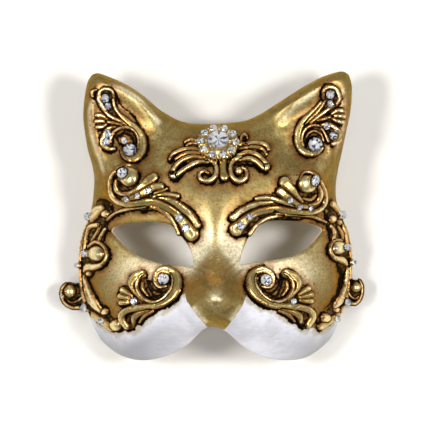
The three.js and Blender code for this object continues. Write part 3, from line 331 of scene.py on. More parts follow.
FOREHEAD_PLUME = [
    # feathers
    rib(1.5, [1.3, 1.4, 1.2], [(-6.6, 38.3), (-12.9, 39.7), (-16.1, 38.4)]),
    rib(1.5, [1.3, 1.4, 1.2], [(-6, 36.6), (-12.1, 38), (-15.2, 36.6)]),
    rib(1.8, [1.4, 1.7, 1.9, 1.8, 1.4], [
        (-6.6, 33.9), (-12.3, 35), (-17.6, 34.3), (-22.3, 32.1), (-24, 29.4),
    ]),
    rib(1.8, [1.4, 1.8, 1.8, 1.4], [(-5.5, 31.7), (-10.8, 32.8), (-16.2, 32.2), (-20.9, 29.4)]),
    # leaf ridges
    rib(2, [1.6, 2, 2.2, 2.3, 2.6], [
        (-5, 29.7), (-10.8, 30.8), (-16.2, 29.6), (-20.5, 26.4), (-22.7, 22.3),
    ]),
    rib(2, [1.8, 2.4, 2.5, 2.4], [(-3.9, 28.1), (-9.2, 27.9), (-14.6, 25.4), (-20.4, 21.3)]),
    # leaf end
    dome(1.9, 2.5, (-22, 21.6)),
    # volute
    rib(2.3, [1.9, 2.4, 2.6, 2.6, 2.2, 1.9, 1.4], [
        (-5.5, 29.1), (-1.4, 28), (0.5, 24.7), (-0.2, 20.5), (-3.9, 18), (-7.8, 19.1),
        (-8.2, 21.9), (-5.8, 23.2), (-3.7, 22.1),
    ]),
    # stem
    rib(1.9, [3.9, 3.5, 4.5], [(3.8, 31.5), (4, 24.2), (4.7, 20.4)]),
    # volute
    rib(2.3, [2.1, 2.4, 2.5, 2.6, 2.4, 1.9, 1.4], [
        (13.4, 30.2), (9.5, 28.6), (7.8, 24.7), (9, 19.9), (12.5, 17.9), (15.9, 19.7),
        (16.2, 23.4), (13.9, 25),
    ]),
    # ball
    dome(1.9, 2.3, (12.2, 23.6)),
    # curl
    rib(1.5, [1.3, 1.5, 1.1], [(13.4, 38.5), (13.8, 41.3), (15.7, 42.4), (16.9, 40.6)]),
    # feathers
    rib(1.6, [1.3, 1.4, 1.1], [(11.3, 36.5), (14.6, 37.5), (17.3, 36.2)]),
    rib(1.9, [1.4, 2, 2.2, 1.9], [(16, 37.5), (21.3, 37.9), (26, 37), (27.8, 34.6)]),
    rib(1.7, [1.3, 1.7, 1.6, 1.3], [(12.9, 34.9), (18.6, 35.8), (24.2, 35.1), (26.8, 31.8)]),
    # leaf ridges
    rib(2.1, [1.8, 2.2, 2.2, 2.2], [(11.8, 31.3), (16.7, 32.9), (22.1, 31.4), (26.4, 27.1)]),
    rib(2, [1.8, 2.4, 2.5, 2.3], [(12.9, 29.2), (17.8, 29.8), (21.7, 28), (24.9, 25)]),
    # leaf end
    dome(1.9, 2.2, (26.5, 25.5)),
    floor([6.3, 13.1, 13.7, 13.7, 7.4], [
        (-16.5, 31.5), (-7.1, 33.6), (1.8, 35.7), (10.8, 34.1), (22.8, 31.5),
    ]),
]

LEFT_SIDE = [
    # top leaf
    rib(2.6, [3.7, 5.8, 5], [(-59.6, 4.2), (-63, 1.6), (-65.9, -1.3)]),
    # ball
    dome(2.2, 2.3, (-57.5, 1.1)),
    # inner ridge
    rib(2.1, [2.6, 2.1, 2.1, 2.1], [(-61.2, -5), (-65.9, -6.3), (-68, -12.1), (-69.3, -19.9)]),
    # cross rib
    rib(1.4, [1.3, 1.6, 1.1], [(-60.1, -5.2), (-62.2, -9.5), (-64.8, -13.1)]),
    dome(3.2, 4.3, (-62, -19.9)),
    # ring
    rib(2, [1.6, 1.9, 1.8, 1.8, 2.1, 3.4, 3.9, 2.6], [
        (-66.4, -16.3), (-62.7, -13.7), (-58.3, -16), (-56.7, -21), (-59.1, -25.2), (-63.3, -26.8),
        (-66.4, -27), (-69, -28.9),
    ]),
    # ball
    dome(1.7, 1.6, (-66.4, -30.5)),
    # crescent
    rib(2.6, [2.1, 3.9, 4.5, 3.7, 2.1], [
        (-68.8, -32), (-67.5, -37.3), (-65.4, -42.5), (-62.5, -46.5), (-59.6, -49.6),
    ]),
    # lower chain
    rib(1.9, [2.1, 3.2, 3.7, 3.2], [(-68.5, -49.9), (-64.3, -52.2), (-59.1, -55.4), (-54.3, -58.8)]),
    # balls
    dome(2.2, 2, (-57.8, -50.1)),
    dome(2.8, 3.2, (-52, -57.2)),
    # seats of stones
    dome(2.6, 2.6, (-67.2, -1)),
    dome(2.4, 1.9, (-67.1, -19.9)),
    dome(3.4, 2, (-75.5, -26.1)),
    dome(2.8, 2.3, (-69.8, -47.5)),
    # corner ridge
    rib(1.5, [1.4, 1.8, 1.3], [(-57.5, -6.8), (-59.6, -10.2), (-60.8, -12.9)]),
    floor([9.5, 7.4, 6.8, 6.3], [(-59.1, 3.7), (-62.2, -6.8), (-63.8, -18.4), (-67.5, -28.9)]),
    floor([5.2, 5.8, 5.2], [(-68.5, -37.8), (-64.8, -46.7), (-54.9, -56.2)]),
    floor([7.4, 8.9, 8.9, 7.4], [(-69, -6.3), (-73, -15.8), (-73, -31.5), (-70.1, -45.1)]),
]

RIGHT_SIDE = [
    # top leaf
    rib(2.4, [3.2, 4.7, 4.2], [(61.2, 6.3), (64.8, 3.7), (68.2, 0)]),
    # balls
    dome(2, 2.2, (61.2, -1.8)),
    dome(1.8, 1.9, (65.4, -3.4)),
    # inner ridge
    rib(2.1, [1.6, 2.1, 2.1, 1.8], [(66.4, -2.1), (68.5, -7.4), (70.1, -12.6), (70.9, -17.3)]),
    dome(3.2, 3.8, (64, -16.8)),
    # ring
    rib(1.9, [1.6, 1.8, 1.8, 2.1, 3.4, 2.6], [
        (65.9, -12.9), (61.7, -13.1), (59.9, -17.3), (61.7, -21.5), (65.9, -23.1), (69.3, -25.5),
    ]),
    # crescent
    rib(2.6, [2.1, 3.9, 4.5, 3.7, 2.1], [
        (69.8, -27.8), (69.6, -33.6), (68, -39.1), (65.4, -43.8), (62.2, -47.5),
    ]),
    # lower chain
    rib(1.9, [2.1, 3.2, 3.7, 3.2], [(69, -49.6), (64.8, -52), (60.1, -55.1), (54.9, -58.3)]),
    # balls
    dome(2.1, 1.9, (63.3, -48.8)),
    dome(2.7, 2.9, (57.5, -53.6)),
    # seats of stones
    dome(2.6, 2.6, (67.5, -0.2)),
    dome(2.4, 1.9, (67.3, -16.7)),
    dome(3.4, 2, (75.5, -24.5)),
    dome(2.8, 2.3, (70.5, -44.8)),
    # corner ridges
    rib(1.6, [1.4, 2, 1.6], [(60.1, -5.2), (62, -8.4), (61.7, -12.1)]),
    rib(1.5, [1.4, 1.7, 1.3], [(64, -5.8), (65.9, -8.9), (66.4, -12.6)]),
    floor([7.9, 7.4, 6.8, 6.3], [(61.7, 4.7), (63.3, -6.3), (65.9, -16.8), (68.5, -27.3)]),
    floor([5.2, 5.8, 5.2], [(69.6, -36.8), (65.9, -46.2), (56.4, -55.1)]),
    floor([7.4, 8.9, 8.9, 7.4], [(69.6, -5.2), (73, -15.8), (73, -31.5), (70.1, -45.1)]),
]

LEFT_SIDE_LINE = [
    (-65.9, -55.7), (-68.8, -47.2), (-70.4, -38.9), (-71.1, -28.4), (-70.9, -17.9), (-69.6, -8.4),
    (-66.9, 0), (-65.4, 6.3), (-64.6, 13.7), (-64.3, 19.9), (-65.4, 27.3), (-67.5, 34.6),
    (-69, 44.1), (-69.8, 52.5), (-69.1, 62), (-67.5, 70.4), (-65.1, 74.5),
]

RIGHT_SIDE_LINE = [
    (65.4, -55.7), (68, -47.2), (69.8, -38.9), (70.9, -28.4), (70.9, -17.9), (69.6, -8.4),
    (66.9, 0), (64.6, 6.3), (63.8, 13.7), (64.6, 22.1), (66.7, 32.6), (69, 44.1), (70.9, 53.6),
    (71.9, 63), (71.8, 69.3), (70.4, 74.3),
]

TOP_LINE = [
    (-65.1, 74.5), (-62.2, 75.4), (-57.5, 74), (-51.2, 71.4), (-43.8, 67.5), (-36.5, 62.2),
    (-30.2, 56.7), (-24.9, 53.3), (-18.6, 50.1), (-10.8, 48.6), (-1.8, 48.6), (7.6, 49.2),
    (16, 50.4), (22.8, 53.3), (29.7, 57.5), (38.1, 63), (47, 68.5), (55.4, 73), (62.7, 75.6),
    (67.5, 76.2), (70.4, 74.3),
]

BOTTOM_LINE = [
    (-65.9, -55.7), (-63.8, -60.4), (-60.1, -66.2), (-53.8, -71.7), (-47, -74.8), (-39.1, -76.1),
    (-29.7, -74.8), (-20.7, -71.4), (-13.4, -66.4), (-8.7, -61.7), (-4.5, -58.4), (-1.6, -57.8),
    (1.8, -58.4), (6.6, -61.4), (12.3, -66.7), (19.2, -71.4), (27.6, -74.8), (38.6, -76.1),
    (47.5, -74.8), (54.3, -71.1), (60.1, -65.9), (63.5, -60.4), (65.4, -55.7),
]

LEFT_EYE = [
    (-56.2, -7.9), (-54.3, -5.7), (-49.6, -4.5), (-43.3, -3.8), (-36, -3.4), (-29.1, -3.8),
    (-23.4, -5.2), (-18.6, -10.5), (-14.4, -16), (-12.6, -21.5), (-12.9, -26.1), (-18.6, -25.6),
    (-27.6, -24.8), (-36, -22.6), (-43.3, -19.4), (-49.6, -14.7),
]

RIGHT_EYE = [
    (57.8, -7.4), (55.9, -5.6), (50.7, -4.1), (43.8, -3.2), (36, -2.6), (28.6, -3), (22.3, -4.7),
    (18.4, -10), (15.5, -16), (13.9, -21), (13.4, -24.9), (19.2, -24.3), (27.6, -23.1),
    (36.5, -21.8), (44.4, -19.2), (51.7, -14.4),
]


# The same leaf scroll is laid on both cheeks, turned over and stretched a little while soft
CAST_PLACES = {
    "left_cheek": dict(at=(-27.6, -33.1), across=(1, 0), up=(0, 1)),
    "right_cheek": dict(at=(26, -33.2), across=(-1.04, -0.04), up=(-0.12, 0.99)),
}
SIDE_BANDS = {
    "left": rib(2.3, [2, 2.6, 2.6, 2.6, 2.4, 1.8], [
        (-65.4, -2), (-71.5, -8.4), (-76.2, -18), (-77.4, -28), (-76.2, -38), (-71.7, -46), (-66, -51),
    ]),
    "right": rib(2.3, [2, 2.6, 2.6, 2.6, 2.4, 1.8], [
        (65.4, -1), (71.5, -8.4), (76.2, -18), (77.4, -28), (76.2, -38), (71.7, -46), (66.5, -50),
    ]),
}

# The snail at each side, which faces forward, with the radius of its dome
SNAIL = dict(radius=4.6, high=9.5, rise=3.6, margin=0.8)
SNAILS = {
    "left": dict(at=(-77.2, -39.9), across=1, dome=3.6),
    "right": dict(at=(74.8, -37.8), across=-0.66, dome=3),
}
SNAIL_RING = [(-0.45, 0.85), (-0.9, 0.3), (-0.93, -0.6), (-0.5, -1.4), (0.3, -1.85), (1.05, -1.8)]
SNAIL_CURL = [(-0.35, -1), (0.2, -1.3), (0.9, -1.1), (1.5, -0.6)]
SNAIL_ARM = [(1.3, 0.4), (0, 0)]
SNAIL_LOBE = [(0.1, -0.4), (0.6, -1.4)]
SNAIL_STONE = (-0.85, -0.55)

# Rhinestones as (x, y, radius)
RHINESTONES = {
    "left_ear": [
        (-44.9, 34.3, 3.6), (-58.3, 62.2, 2.3), (-56.6, 57.7, 1.9), (-56.3, 43.2, 2.2),
        (-57.5, 39.1, 2), (-48, 39.6, 1.7),
    ],
    "right_ear": [
        (52.2, 37.4, 3.8), (60.4, 64.3, 2.4), (60.8, 59, 1.8), (58.9, 47, 1.9),
        (62, 42.4, 2.2),
    ],
    "left_brow": [
        (-47.8, 21.8, 2.9), (-45.9, 9.5, 1.6), (-40.4, 10.8, 1.6), (-34.6, 13.4, 1.7),
        (-18.6, -0.5, 2), (-15.2, -5.8, 2.2),
    ],
    "right_brow": [
        (51.2, 18.6, 2.8), (38.6, 8.7, 1.7), (43.6, 5.2, 1.7), (49.4, 4.2, 1.6), (17.6, 0, 1.7),
        (12.6, -4.7, 2.1),
    ],
    "left_cheek": [(-27, -33.1, 3), (-42.5, -44.4, 2.1)],
    "right_cheek": [(26.2, -33.6, 3.1), (40.7, -44.9, 1.8)],
    "left_side": [
        (-67.2, -1, 2.2), (-67.2, -20, 1.9), (-75.5, -26.1, 1.3), (-69.8, -47.5, 1.9),
        (-58.7, -54.6, 1.7),
    ],
    "right_side": [
        (67.5, -0.2, 2.3), (67.2, -16.7, 1.9), (75.5, -24.5, 1.3), (70.5, -44.8, 1.9),
        (62.9, -53.4, 1.7),
    ],
}
BROOCH = dict(
    x=1.4, y=36.4, step=2.0, lift=2.4, girdle=2.3, raised=1.6, ring=9.2, crystals=10, turn=-0.07,
    small=2.1, centre=5.6,
)
CLAW = [(0.1, 0), (0.36, 0.2), (0.36, 1.6), (0.26, 1.95), (0.06, 2.05)]
CLAW_DOWN = 1.6

# Where the gilding ends and the white begins
WHITE_EDGE = [
    (-71, -50.4), (-65.9, -53.6), (-60.6, -57.2), (-55.4, -59.4), (-50.1, -61.2), (-46, -60.2),
    (-39.6, -56.8), (-31.8, -51.8), (-23.9, -46.2), (-18.6, -42), (-16, -40.2), (-15.5, -44.1),
    (-12.9, -47.3), (-9.2, -52.5), (-4.5, -57.8), (0, -59.5), (5, -59.3), (8.1, -55.1), (11.8, -50.4),
    (14.4, -46.2), (16, -41.6), (23.4, -46.2), (31.2, -50), (37.5, -54.2), (42.8, -57.4),
    (48.6, -59.2), (53.8, -59.2), (59.1, -57.2), (65.4, -54.1), (71, -50.9),
]

# Where the gilding is rubbed brown: on the nose, reddest in some spots of it, and on the lids
NOSE_STAIN = dict(
    reach=[(-48, 11), (-39, 17), (-30, 14), (-24, 9), (-20, 5), (-17, 3)], edge=(0.6, 1.1),
    bottom=(-50, -39), top=(-16, -23), pad=5,
)
NOSE_RUDDY = [
    dict(x=0, y=-31, wide=7, tall=5, high=0.9), dict(x=12, y=-36, wide=5, tall=5, high=1),
]
RUDDY_WAVES = [(0.6, 5, 12)]
LID = dict(low=4, half=26, fade=(7, 2), high=0.5)
# Dark streaks that run outwards and up over the lower nose
NOSE_STREAKS = dict(
    steep=0.75, size=1.3, long=5, ease=(-0.1, 0.5), half=18, side=5, bottom=(-66, -60),
    top=(-30, -16), edge=(1, 3.5), high=0.8,
)
# Painted shade on the white: it is greyer away from the nose and low down
WHITE_SHADE = dict(middle=8, across=(16, 52), down=(-1, 12))
# The side casts are worn pale and painted as highlights on their highest places
SIDE_WEAR_AND_HIGHLIGHT = dict(across=(54, 64), high=(1, 2))
# Spots worn to the pale ground and painted as highlights
PALE_SPOTS = [
    dict(x=8, y=-14, wide=7, tall=11, high=1), dict(x=14, y=-24, wide=6, tall=6, high=0.9),
    dict(x=28, y=-28, wide=12, tall=6, high=0.8),
    dict(x=44, y=-30, wide=11, tall=9, high=0.6), dict(x=0, y=-42, wide=3.6, tall=3.4, high=0.75),
]
# Edges of the nose and the ears where the leaf is worn pale and painted as highlights
PALE_LINES = [
    [(-12.2, -46.6), (-8.4, -51.8), (-4.2, -56.4)],
    [(13.6, -46.2), (10.6, -50.6), (7, -54.8)],
    [(-61.4, 67.6), (-64.8, 60.5), (-66.1, 53), (-65, 42.5), (-60.8, 29.4), (-57.6, 18.9)],
    [(-58, 69.3), (-50.9, 67.5), (-42.3, 62.7), (-35.6, 57), (-30.9, 50.8), (-29.1, 47)],
    [(66.3, 67.5), (67.3, 65.1), (67.7, 57.5), (66.8, 46), (64.9, 39.3), (62.5, 30.2)],
    [(33.9, 48.9), (38.6, 54.1), (45.8, 60.3), (53, 65.1), (55.8, 67)],
]
PALE_LINE = dict(wide=1.4, high=0.8, ends=0.15, even=0.75, waves=[(0.35, 7, 8)])
# Thick dark lines beside some casts
DARK_LINES = [
    rib(0, [0, 0.4, 0.5, 0.2, 0], [(-51.4, 62.7), (-49, 57.5), (-43.7, 53.2), (-40.4, 47.5), (-38, 44.6)]),
    rib(0, [0, 0.2, 0.2, 0], [(-35.8, 40), (-35, 36), (-36.4, 31.4), (-39.6, 28.4)]),
    rib(0, [0, 0.4, 0.4, 0.4, 0.2, 0.2, 0], [
        (53.4, 58.9), (46.7, 52.2), (43.4, 47.9), (41, 44.1), (40.5, 39.3), (42, 34.5), (44.8, 31.2),
    ]),
    rib(0, [0, 0.4, 0], [(49.1, 30.2), (53, 31.2), (55.3, 33.1)]),
    rib(0, [0, 0.8, 0.8, 0.4], [(-67.3, -32), (-65.1, -39.4), (-60.6, -46), (-55.2, -50)]),
    rib(0, [0.4, 1, 0.8, 0.4], [(67.4, -25), (66.4, -33), (63.4, -42), (57.6, -49)]),
    rib(0, [0.6, 1.2, 1], [(-19, -1), (-12.8, -3.4), (-8.8, -8)]),
]
# Spots painted darker as shade
SHADE_SPOTS = [
    dict(x=0, y=19, wide=22, tall=13, high=0.7), dict(x=50, y=50, wide=9, tall=12, high=0.5),
    dict(x=18, y=44, wide=14, tall=8, high=0.3), dict(x=56, y=-38, wide=10, tall=12, high=0.6),
    dict(x=0, y=3, wide=9, tall=8, high=0.3),
]
# Dark paint reaches further below the ridges, as dirt and painted shadow, and on the side of them that
# faces the nose
DARK_AND_SHADOW_DRIFT = (0.5, 0.7)
# How many cells around a groove and a wide hollow their depth is taken from
GROOVE_CELLS = 2
BROAD_CELLS = 7

# The view: the photograph's width in pixels, and the middle and height of the plane that fills it
PHOTO_WIDTH = 423
MM_PER_PIXEL = 0.525
VIEW_CENTRE = (-2.1, 0.8)
FRAME_PLANE = 45

# The studio, in metres and watts
CAMERA_DISTANCE = 4.0
FLOOR_HALF = 3.0
WORLD_TINT = (0.62, 0.64, 0.68, 1)
WORLD_STRENGTH = 0.25
WARM_LIGHT = (1, 0.98, 0.95)
WHITE_LIGHT = (1, 1, 1)
# Lights as (name, place, width, power, colour), all pointed at the origin
LIGHTS = [
    ("key", (-0.75, 0.05, 1.2), 0.35, 13, WARM_LIGHT),
    ("second", (0.75, 0.05, 1.2), 0.35, 13, WARM_LIGHT),
    ("front", (0.0, 0.6, 1.7), 0.5, 1.5, WHITE_LIGHT),
    ("low_left", (-0.7, -0.5, 1.1), 0.18, 3, WHITE_LIGHT),
    ("low_right", (0.7, -0.5, 1.1), 0.18, 3, WHITE_LIGHT),
    ("side_left", (-1.3, -0.1, 0.45), 0.3, 1.2, WHITE_LIGHT),
    ("side_right", (1.3, -0.1, 0.45), 0.3, 1.2, WHITE_LIGHT),
]

# For the turn of each stone and which of its facets are painted as bright and as dark reflections
rng = np.random.default_rng(7)


# Small helpers


def mix(a, b, t):
    return a + (b - a) * t


def smoothstep(x, low, high):
    t = np.clip((x - low) / (high - low), 0, 1)
    return t * t * (3 - 2 * t)


def along(table, place):
    """A smooth curve through (place, value) pairs."""
    xs, ys = np.array(table, float).T
    slopes = np.gradient(ys)
    slopes[1:-1] = (ys[2:] - ys[:-2]) / (xs[2:] - xs[:-2])
    slopes[0] = (ys[1] - ys[0]) / (xs[1] - xs[0])
    slopes[-1] = (ys[-1] - ys[-2]) / (xs[-1] - xs[-2])
    x = np.clip(place, xs[0], xs[-1])
    k = np.clip(np.searchsorted(xs, x) - 1, 0, len(xs) - 2)
    step = xs[k + 1] - xs[k]
    t = (x - xs[k]) / step
    bend = mix(ys[k], ys[k + 1], t * t * (3 - 2 * t))
    return bend + step * (t * (1 - t) ** 2 * slopes[k] + t * t * (t - 1) * slopes[k + 1])


def spline(points, per_step=8):
    """A smooth line through the points, the same number of samples in each step."""
    p = np.array(points, float)
    q = np.vstack([p[:1], p, p[-1:]])
    t = np.linspace(0, len(p) - 1, per_step * (len(p) - 1) + 1)
    k = np.minimum(t.astype(int), len(p) - 2)
    f = (t - k)[:, None]
    before, here, there, after = (q[k + n] for n in range(4))
    leave = (there - before) / 2
    arrive = (after - here) / 2
    cubic = 2 * (here - there) + leave + arrive
    square = 3 * (there - here) - 2 * leave - arrive
    return cubic * f**3 + square * f**2 + leave * f + here


def evenly(line, places):
    """Points of a line at shares of its length."""
    reach = np.concatenate([[0], np.cumsum(np.hypot(*np.diff(line, axis=0).T))])
    return np.stack([np.interp(places * reach[-1], reach, line[:, a]) for a in range(2)], axis=-1)


def nearest(line, x, y):
    """How far each place is from a line, and where along it, 0 to 1."""
    best = np.full(np.shape(x), np.inf)
    place = np.zeros(np.shape(x))
    for n in range(len(line) - 1):
        ax, ay = line[n]
        dx, dy = line[n + 1] - line[n]
        t = np.clip(((x - ax) * dx + (y - ay) * dy) / max(dx * dx + dy * dy, TINY), 0, 1)
        far = (x - ax - t * dx) ** 2 + (y - ay - t * dy) ** 2
        closer = far < best
        best = np.where(closer, far, best)
        place = np.where(closer, (n + t) / (len(line) - 1), place)
    return np.sqrt(best), place


def ripple(x, y, size, seed):
    """Smooth random waves of about one size, -1 to 1."""
    count = RIPPLE_CELLS
    lattice = np.random.default_rng(seed).uniform(-1, 1, (count, count))
    u, v = x / size + RIPPLE_START, y / size + RIPPLE_START
    i, j = np.floor(u).astype(int), np.floor(v).astype(int)
    s, t = smoothstep(u - i, 0, 1), smoothstep(v - j, 0, 1)
    corner = [[lattice[(j + b) % count, (i + a) % count] for a in (0, 1)] for b in (0, 1)]
    return mix(mix(corner[0][0], corner[0][1], s), mix(corner[1][0], corner[1][1], s), t)


def waves(parts, x, y):
    """Ripples added up, each as (height, size, seed)."""
    return sum(high * ripple(x, y, size, seed) for high, size, seed in parts)


def blurred(grid, cells):
    """A grid softened over so many cells each way."""
    reach = np.arange(-2 * cells, 2 * cells + 1)
    weights = np.exp(-((reach / cells) ** 2))
    weights /= weights.sum()
    for axis in (0, 1):
        width = [(2 * cells, 2 * cells) if a == axis else (0, 0) for a in (0, 1)]
        padded = np.pad(grid, width, mode="edge")
        size = grid.shape[axis]
        parts = [w * np.take(padded, range(n, n + size), axis) for n, w in enumerate(weights)]
        grid = np.sum(parts, axis=0)
    return grid


# The form of the face

LEFT_EDGE, RIGHT_EDGE, TOP_EDGE, BOTTOM_EDGE = (
    evenly(spline(line), np.linspace(0, 1, EDGE_SAMPLES))
    for line in (LEFT_SIDE_LINE, RIGHT_SIDE_LINE, TOP_LINE, BOTTOM_LINE)
)
EYES = [spline([*outline, outline[0]], 6) for outline in (LEFT_EYE, RIGHT_EYE)]
shell_low, shell_high = (np.array(corner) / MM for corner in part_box(SHELL_NODE))
SHIFT = np.array([
    (shell_low[0] + shell_high[0] - LEFT_EDGE[:, 0].min() - RIGHT_EDGE[:, 0].max()) / 2,
    (shell_low[1] + shell_high[1] - BOTTOM_EDGE[:, 1].min() - TOP_EDGE[:, 1].max()) / 2,
    0,
])


def swell(form, x, y):
    across = (np.abs(x) - form["x"]) / form["wide"]
    return form["high"] * np.exp(-(across**2) - ((y - form["y"]) / form["tall"]) ** 2)


def fold(height, rim, distance, radius):
    """The height falls to the rim in a quarter of an ellipse."""
    left = 1 - np.minimum(distance / radius, 1)
    return rim + (height - rim) * np.sqrt(1 - left * left)


def row_at(y):
    left = np.interp(y, LEFT_EDGE[:, 1], LEFT_EDGE[:, 0])
    right = np.interp(y, RIGHT_EDGE[:, 1], RIGHT_EDGE[:, 0])
    return left, right, (left + right) / 2, (right - left) / 2


def side_distance(x, y):
    left, right, _, _ = row_at(y)
    return np.minimum(np.abs(x - left), np.abs(right - x))


def face_height(x, y):
    earward = smoothstep(np.abs(x), EAR_BLEND["inner"], EAR_BLEND["outer"])
    earward = earward * smoothstep(y, EAR_BLEND["low"], EAR_BLEND["high"])
    height = mix(along(FACE_PROFILE, y), along(EAR_FRONT, y), earward)
    height += along(NOSE_RIDGE, y) * np.exp(-(np.abs(x / along(NOSE_BREADTH, y)) ** NOSE_POWER))
    tip = np.hypot(x - NOSE_TIP["x"], y - NOSE_TIP["y"]) / NOSE_TIP["radius"]
    height += NOSE_TIP["high"] * np.exp(-(tip**2))
    for form in (CHEEK_PAD, EYE_SOCKET, BROW_RIDGE):
        height += swell(form, x, y)
    _, _, middle, half = row_at(y)
    across = np.minimum(np.abs(x - middle) / half, 1)
    power = mix(SIDE_POWER, EAR_POWER, smoothstep(y, 0, EAR_BLEND["high"]))
    side_rim = EAR_RIM_HEIGHT * smoothstep(y, SIDE_RISE["low"], SIDE_RISE["high"])
    height = side_rim + (height - side_rim) * np.sqrt(1 - across**power)
    to_top, _ = nearest(TOP_EDGE, x, y)
    bowl = smoothstep(side_distance(x, y), EAR_BOWL["lip"], EAR_BOWL["far"])
    bowl = bowl * smoothstep(to_top, EAR_BOWL["lip"], EAR_BOWL["far"])
    bowl = bowl * smoothstep(y, EAR_BOWL["low"], EAR_BOWL["high"])
    height -= EAR_BOWL["deep"] * bowl * smoothstep(np.abs(x), EAR_BOWL["inner"], EAR_BOWL["outer"])
    height = fold(height, EAR_RIM_HEIGHT, to_top, TOP_FOLD)
    bottom_fold = mix(NOTCH_FOLD, LOBE_FOLD, smoothstep(np.abs(x), LOBE_START, LOBE_MIDDLE))
    to_bottom, _ = nearest(BOTTOM_EDGE, x, y)
    return fold(height, along(BOTTOM_RIM, np.abs(x)), to_bottom, bottom_fold)


def on_face(x, y):
    """Points of the face; beyond the shoulder of the side wall, x goes on as the way down it."""
    _, _, middle, half = row_at(y)
    side = np.sign(x - middle)
    reach = np.abs(x - middle)
    shoulder = WALL_START * half
    wall = (reach > shoulder) & (y <= WALL_TOP)
    places = np.stack([x, y, face_height(x, y)], axis=-1)
    if not wall.any():
        return places
    middle, side, half, shoulder, reach, up = (
        v[wall] for v in (middle, side, half, shoulder, reach, y)
    )
    top = face_height(middle + side * shoulder, up)
    target = np.maximum(top - (reach - shoulder), WALL_FOOT)
    near, far = shoulder.copy(), half.copy()
    for _ in range(WALL_SEARCH_STEPS):
        between = (near + far) / 2
        higher = face_height(middle + side * between, up) > target
        near = np.where(higher, between, near)
        far = np.where(higher, far, between)
    places[wall] = np.stack([middle + side * near, up, target], axis=-1)
    return places


def unrolled(x, y, height):
    """The x that on_face() takes for a place of the shell, which goes on down the side wall."""
    _, _, middle, half = row_at(y)
    side, reach, shoulder = np.sign(x - middle), np.abs(x - middle), WALL_START * half
    down = np.maximum(face_height(middle + side * shoulder, y) - height, 0)
    on_wall = (reach > shoulder) & (y <= WALL_TOP)
    return middle + side * np.where(on_wall, shoulder + down, reach)


def grid_normals(points):
    across = np.gradient(points, axis=1)
    up = np.gradient(points, axis=0)
    normal = np.cross(across, up)
    return normal / np.maximum(np.linalg.norm(normal, axis=-1, keepdims=True), TINY)


# Ridges, domes and patches of ground, each as a dict


def points_of(one):
    """The points of its line, or the middle of a dome."""
    return np.array(one.get("line", [one.get("at")]), float)


def widths(one):
    return one.get("wide", [2 * one.get("radius", 0)])


def half_width(one, place):
    """Half its width, at shares of the way along it."""
    wide = widths(one)
    return np.interp(place, np.linspace(0, 1, len(wide)), wide) / 2


# Meshes


def mesh_piece(name, verts, faces, materials, attributes=None, face_slots=None, smooth_to=SMOOTH_TO):
    """A mesh object from millimetres on the face, in metres in the frame."""
    mesh = bpy.data.meshes.new(name)
    mesh.from_pydata(((np.asarray(verts) + SHIFT) * MM).tolist(), [], [list(f) for f in faces])
    for material in materials:
        mesh.materials.append(material)
    if face_slots is not None:
        mesh.polygons.foreach_set("material_index", face_slots)
    for key, values in (attributes or {}).items():
        mesh.attributes.new(key, "FLOAT", "POINT").data.foreach_set("value", np.ravel(values))
    mesh.validate()
    if smooth_to:
        mesh.shade_smooth()
        mesh.set_sharp_from_angle(angle=math.radians(smooth_to))
    piece = bpy.data.objects.new(name, mesh)
    bpy.context.scene.collection.objects.link(piece)
    return piece


def hand_over(piece, node):
    """Says what a piece rides on and the node that it replaces."""
    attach(piece, "root")
    if node:
        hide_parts(node)


def joined(bodies):
    """One body from several, each as its points and its faces."""
    starts = np.cumsum([0, *(len(points) for points, _ in bodies)])
    faces = [
        [v + start for v in polygon]
        for (_, polygons), start in zip(bodies, starts)
        for polygon in polygons
    ]
    return np.vstack([points for points, _ in bodies]), faces


def slab(top, bottom, keep):
    """The closed body between two grids of points, of the cells that are kept."""
    rows, columns = top.shape[:2]
    count = rows * columns
    place = np.arange(count).reshape(rows, columns)
    a, b = place[:-1, :-1], place[:-1, 1:]
    c, d = place[1:, 1:], place[1:, :-1]
    front = np.stack([a[keep], b[keep], c[keep], d[keep]], axis=1)
    back = front[:, ::-1] + count
    walls = []
    padded = np.pad(keep, 1)
    for start, end, beyond in (
        (a, b, padded[:-2, 1:-1]),
        (b, c, padded[1:-1, 2:]),
        (c, d, padded[2:, 1:-1]),
        (d, a, padded[1:-1, :-2]),
    ):
        edge = keep & ~beyond
        one, two = start[edge], end[edge]
        walls.append(np.stack([two, one, one + count, two + count], axis=1))
    faces = np.vstack([front, back, *walls])
    verts = np.vstack([top.reshape(-1, 3), bottom.reshape(-1, 3)])
    used = np.zeros(len(verts), bool)
    used[faces] = True
    renumber = np.cumsum(used) - 1
    return verts[used], renumber[faces], used


def slab_values(used, fields):
    """Attributes for a slab, each from a grid for its top and one value for its bottom."""
    return {
        key: np.concatenate([top.ravel(), np.full(top.size, bottom)])[used]
        for key, (top, bottom) in fields.items()
    }


# The shell


def eased(count):
    t = np.linspace(0, 1, count + 1)
    return mix(t, (1 - np.cos(np.pi * t)) / 2, CROWDING)


def sheet_places():
    """The grid of places between the four edges of the face."""
    u, v = eased(SHELL_COLUMNS), eased(SHELL_ROWS)
    bottom, top = evenly(BOTTOM_EDGE, u)[None], evenly(TOP_EDGE, u)[None]
    left, right = evenly(LEFT_EDGE, v)[:, None], evenly(RIGHT_EDGE, v)[:, None]
    across, up = u[None, :, None], v[:, None, None]
    corners = mix(mix(left[:1], right[:1], across), mix(left[-1:], right[-1:], across), up)
    return mix(bottom, top, up) + mix(left, right, across) - corners


def inside(outline, x, y):
    odd = np.zeros(x.shape, bool)
    for (ax, ay), (bx, by) in zip(outline[:-1], outline[1:]):
        crosses = (ay > y) != (by > y)
        at = ax + (y - ay) * (bx - ax) / (by - ay if by != ay else TINY)
        odd ^= crosses & (x < at)
    return odd


def corners_of(grid):
    """The four corners of each cell."""
    return [grid[:-1, :-1], grid[:-1, 1:], grid[1:, :-1], grid[1:, 1:]]


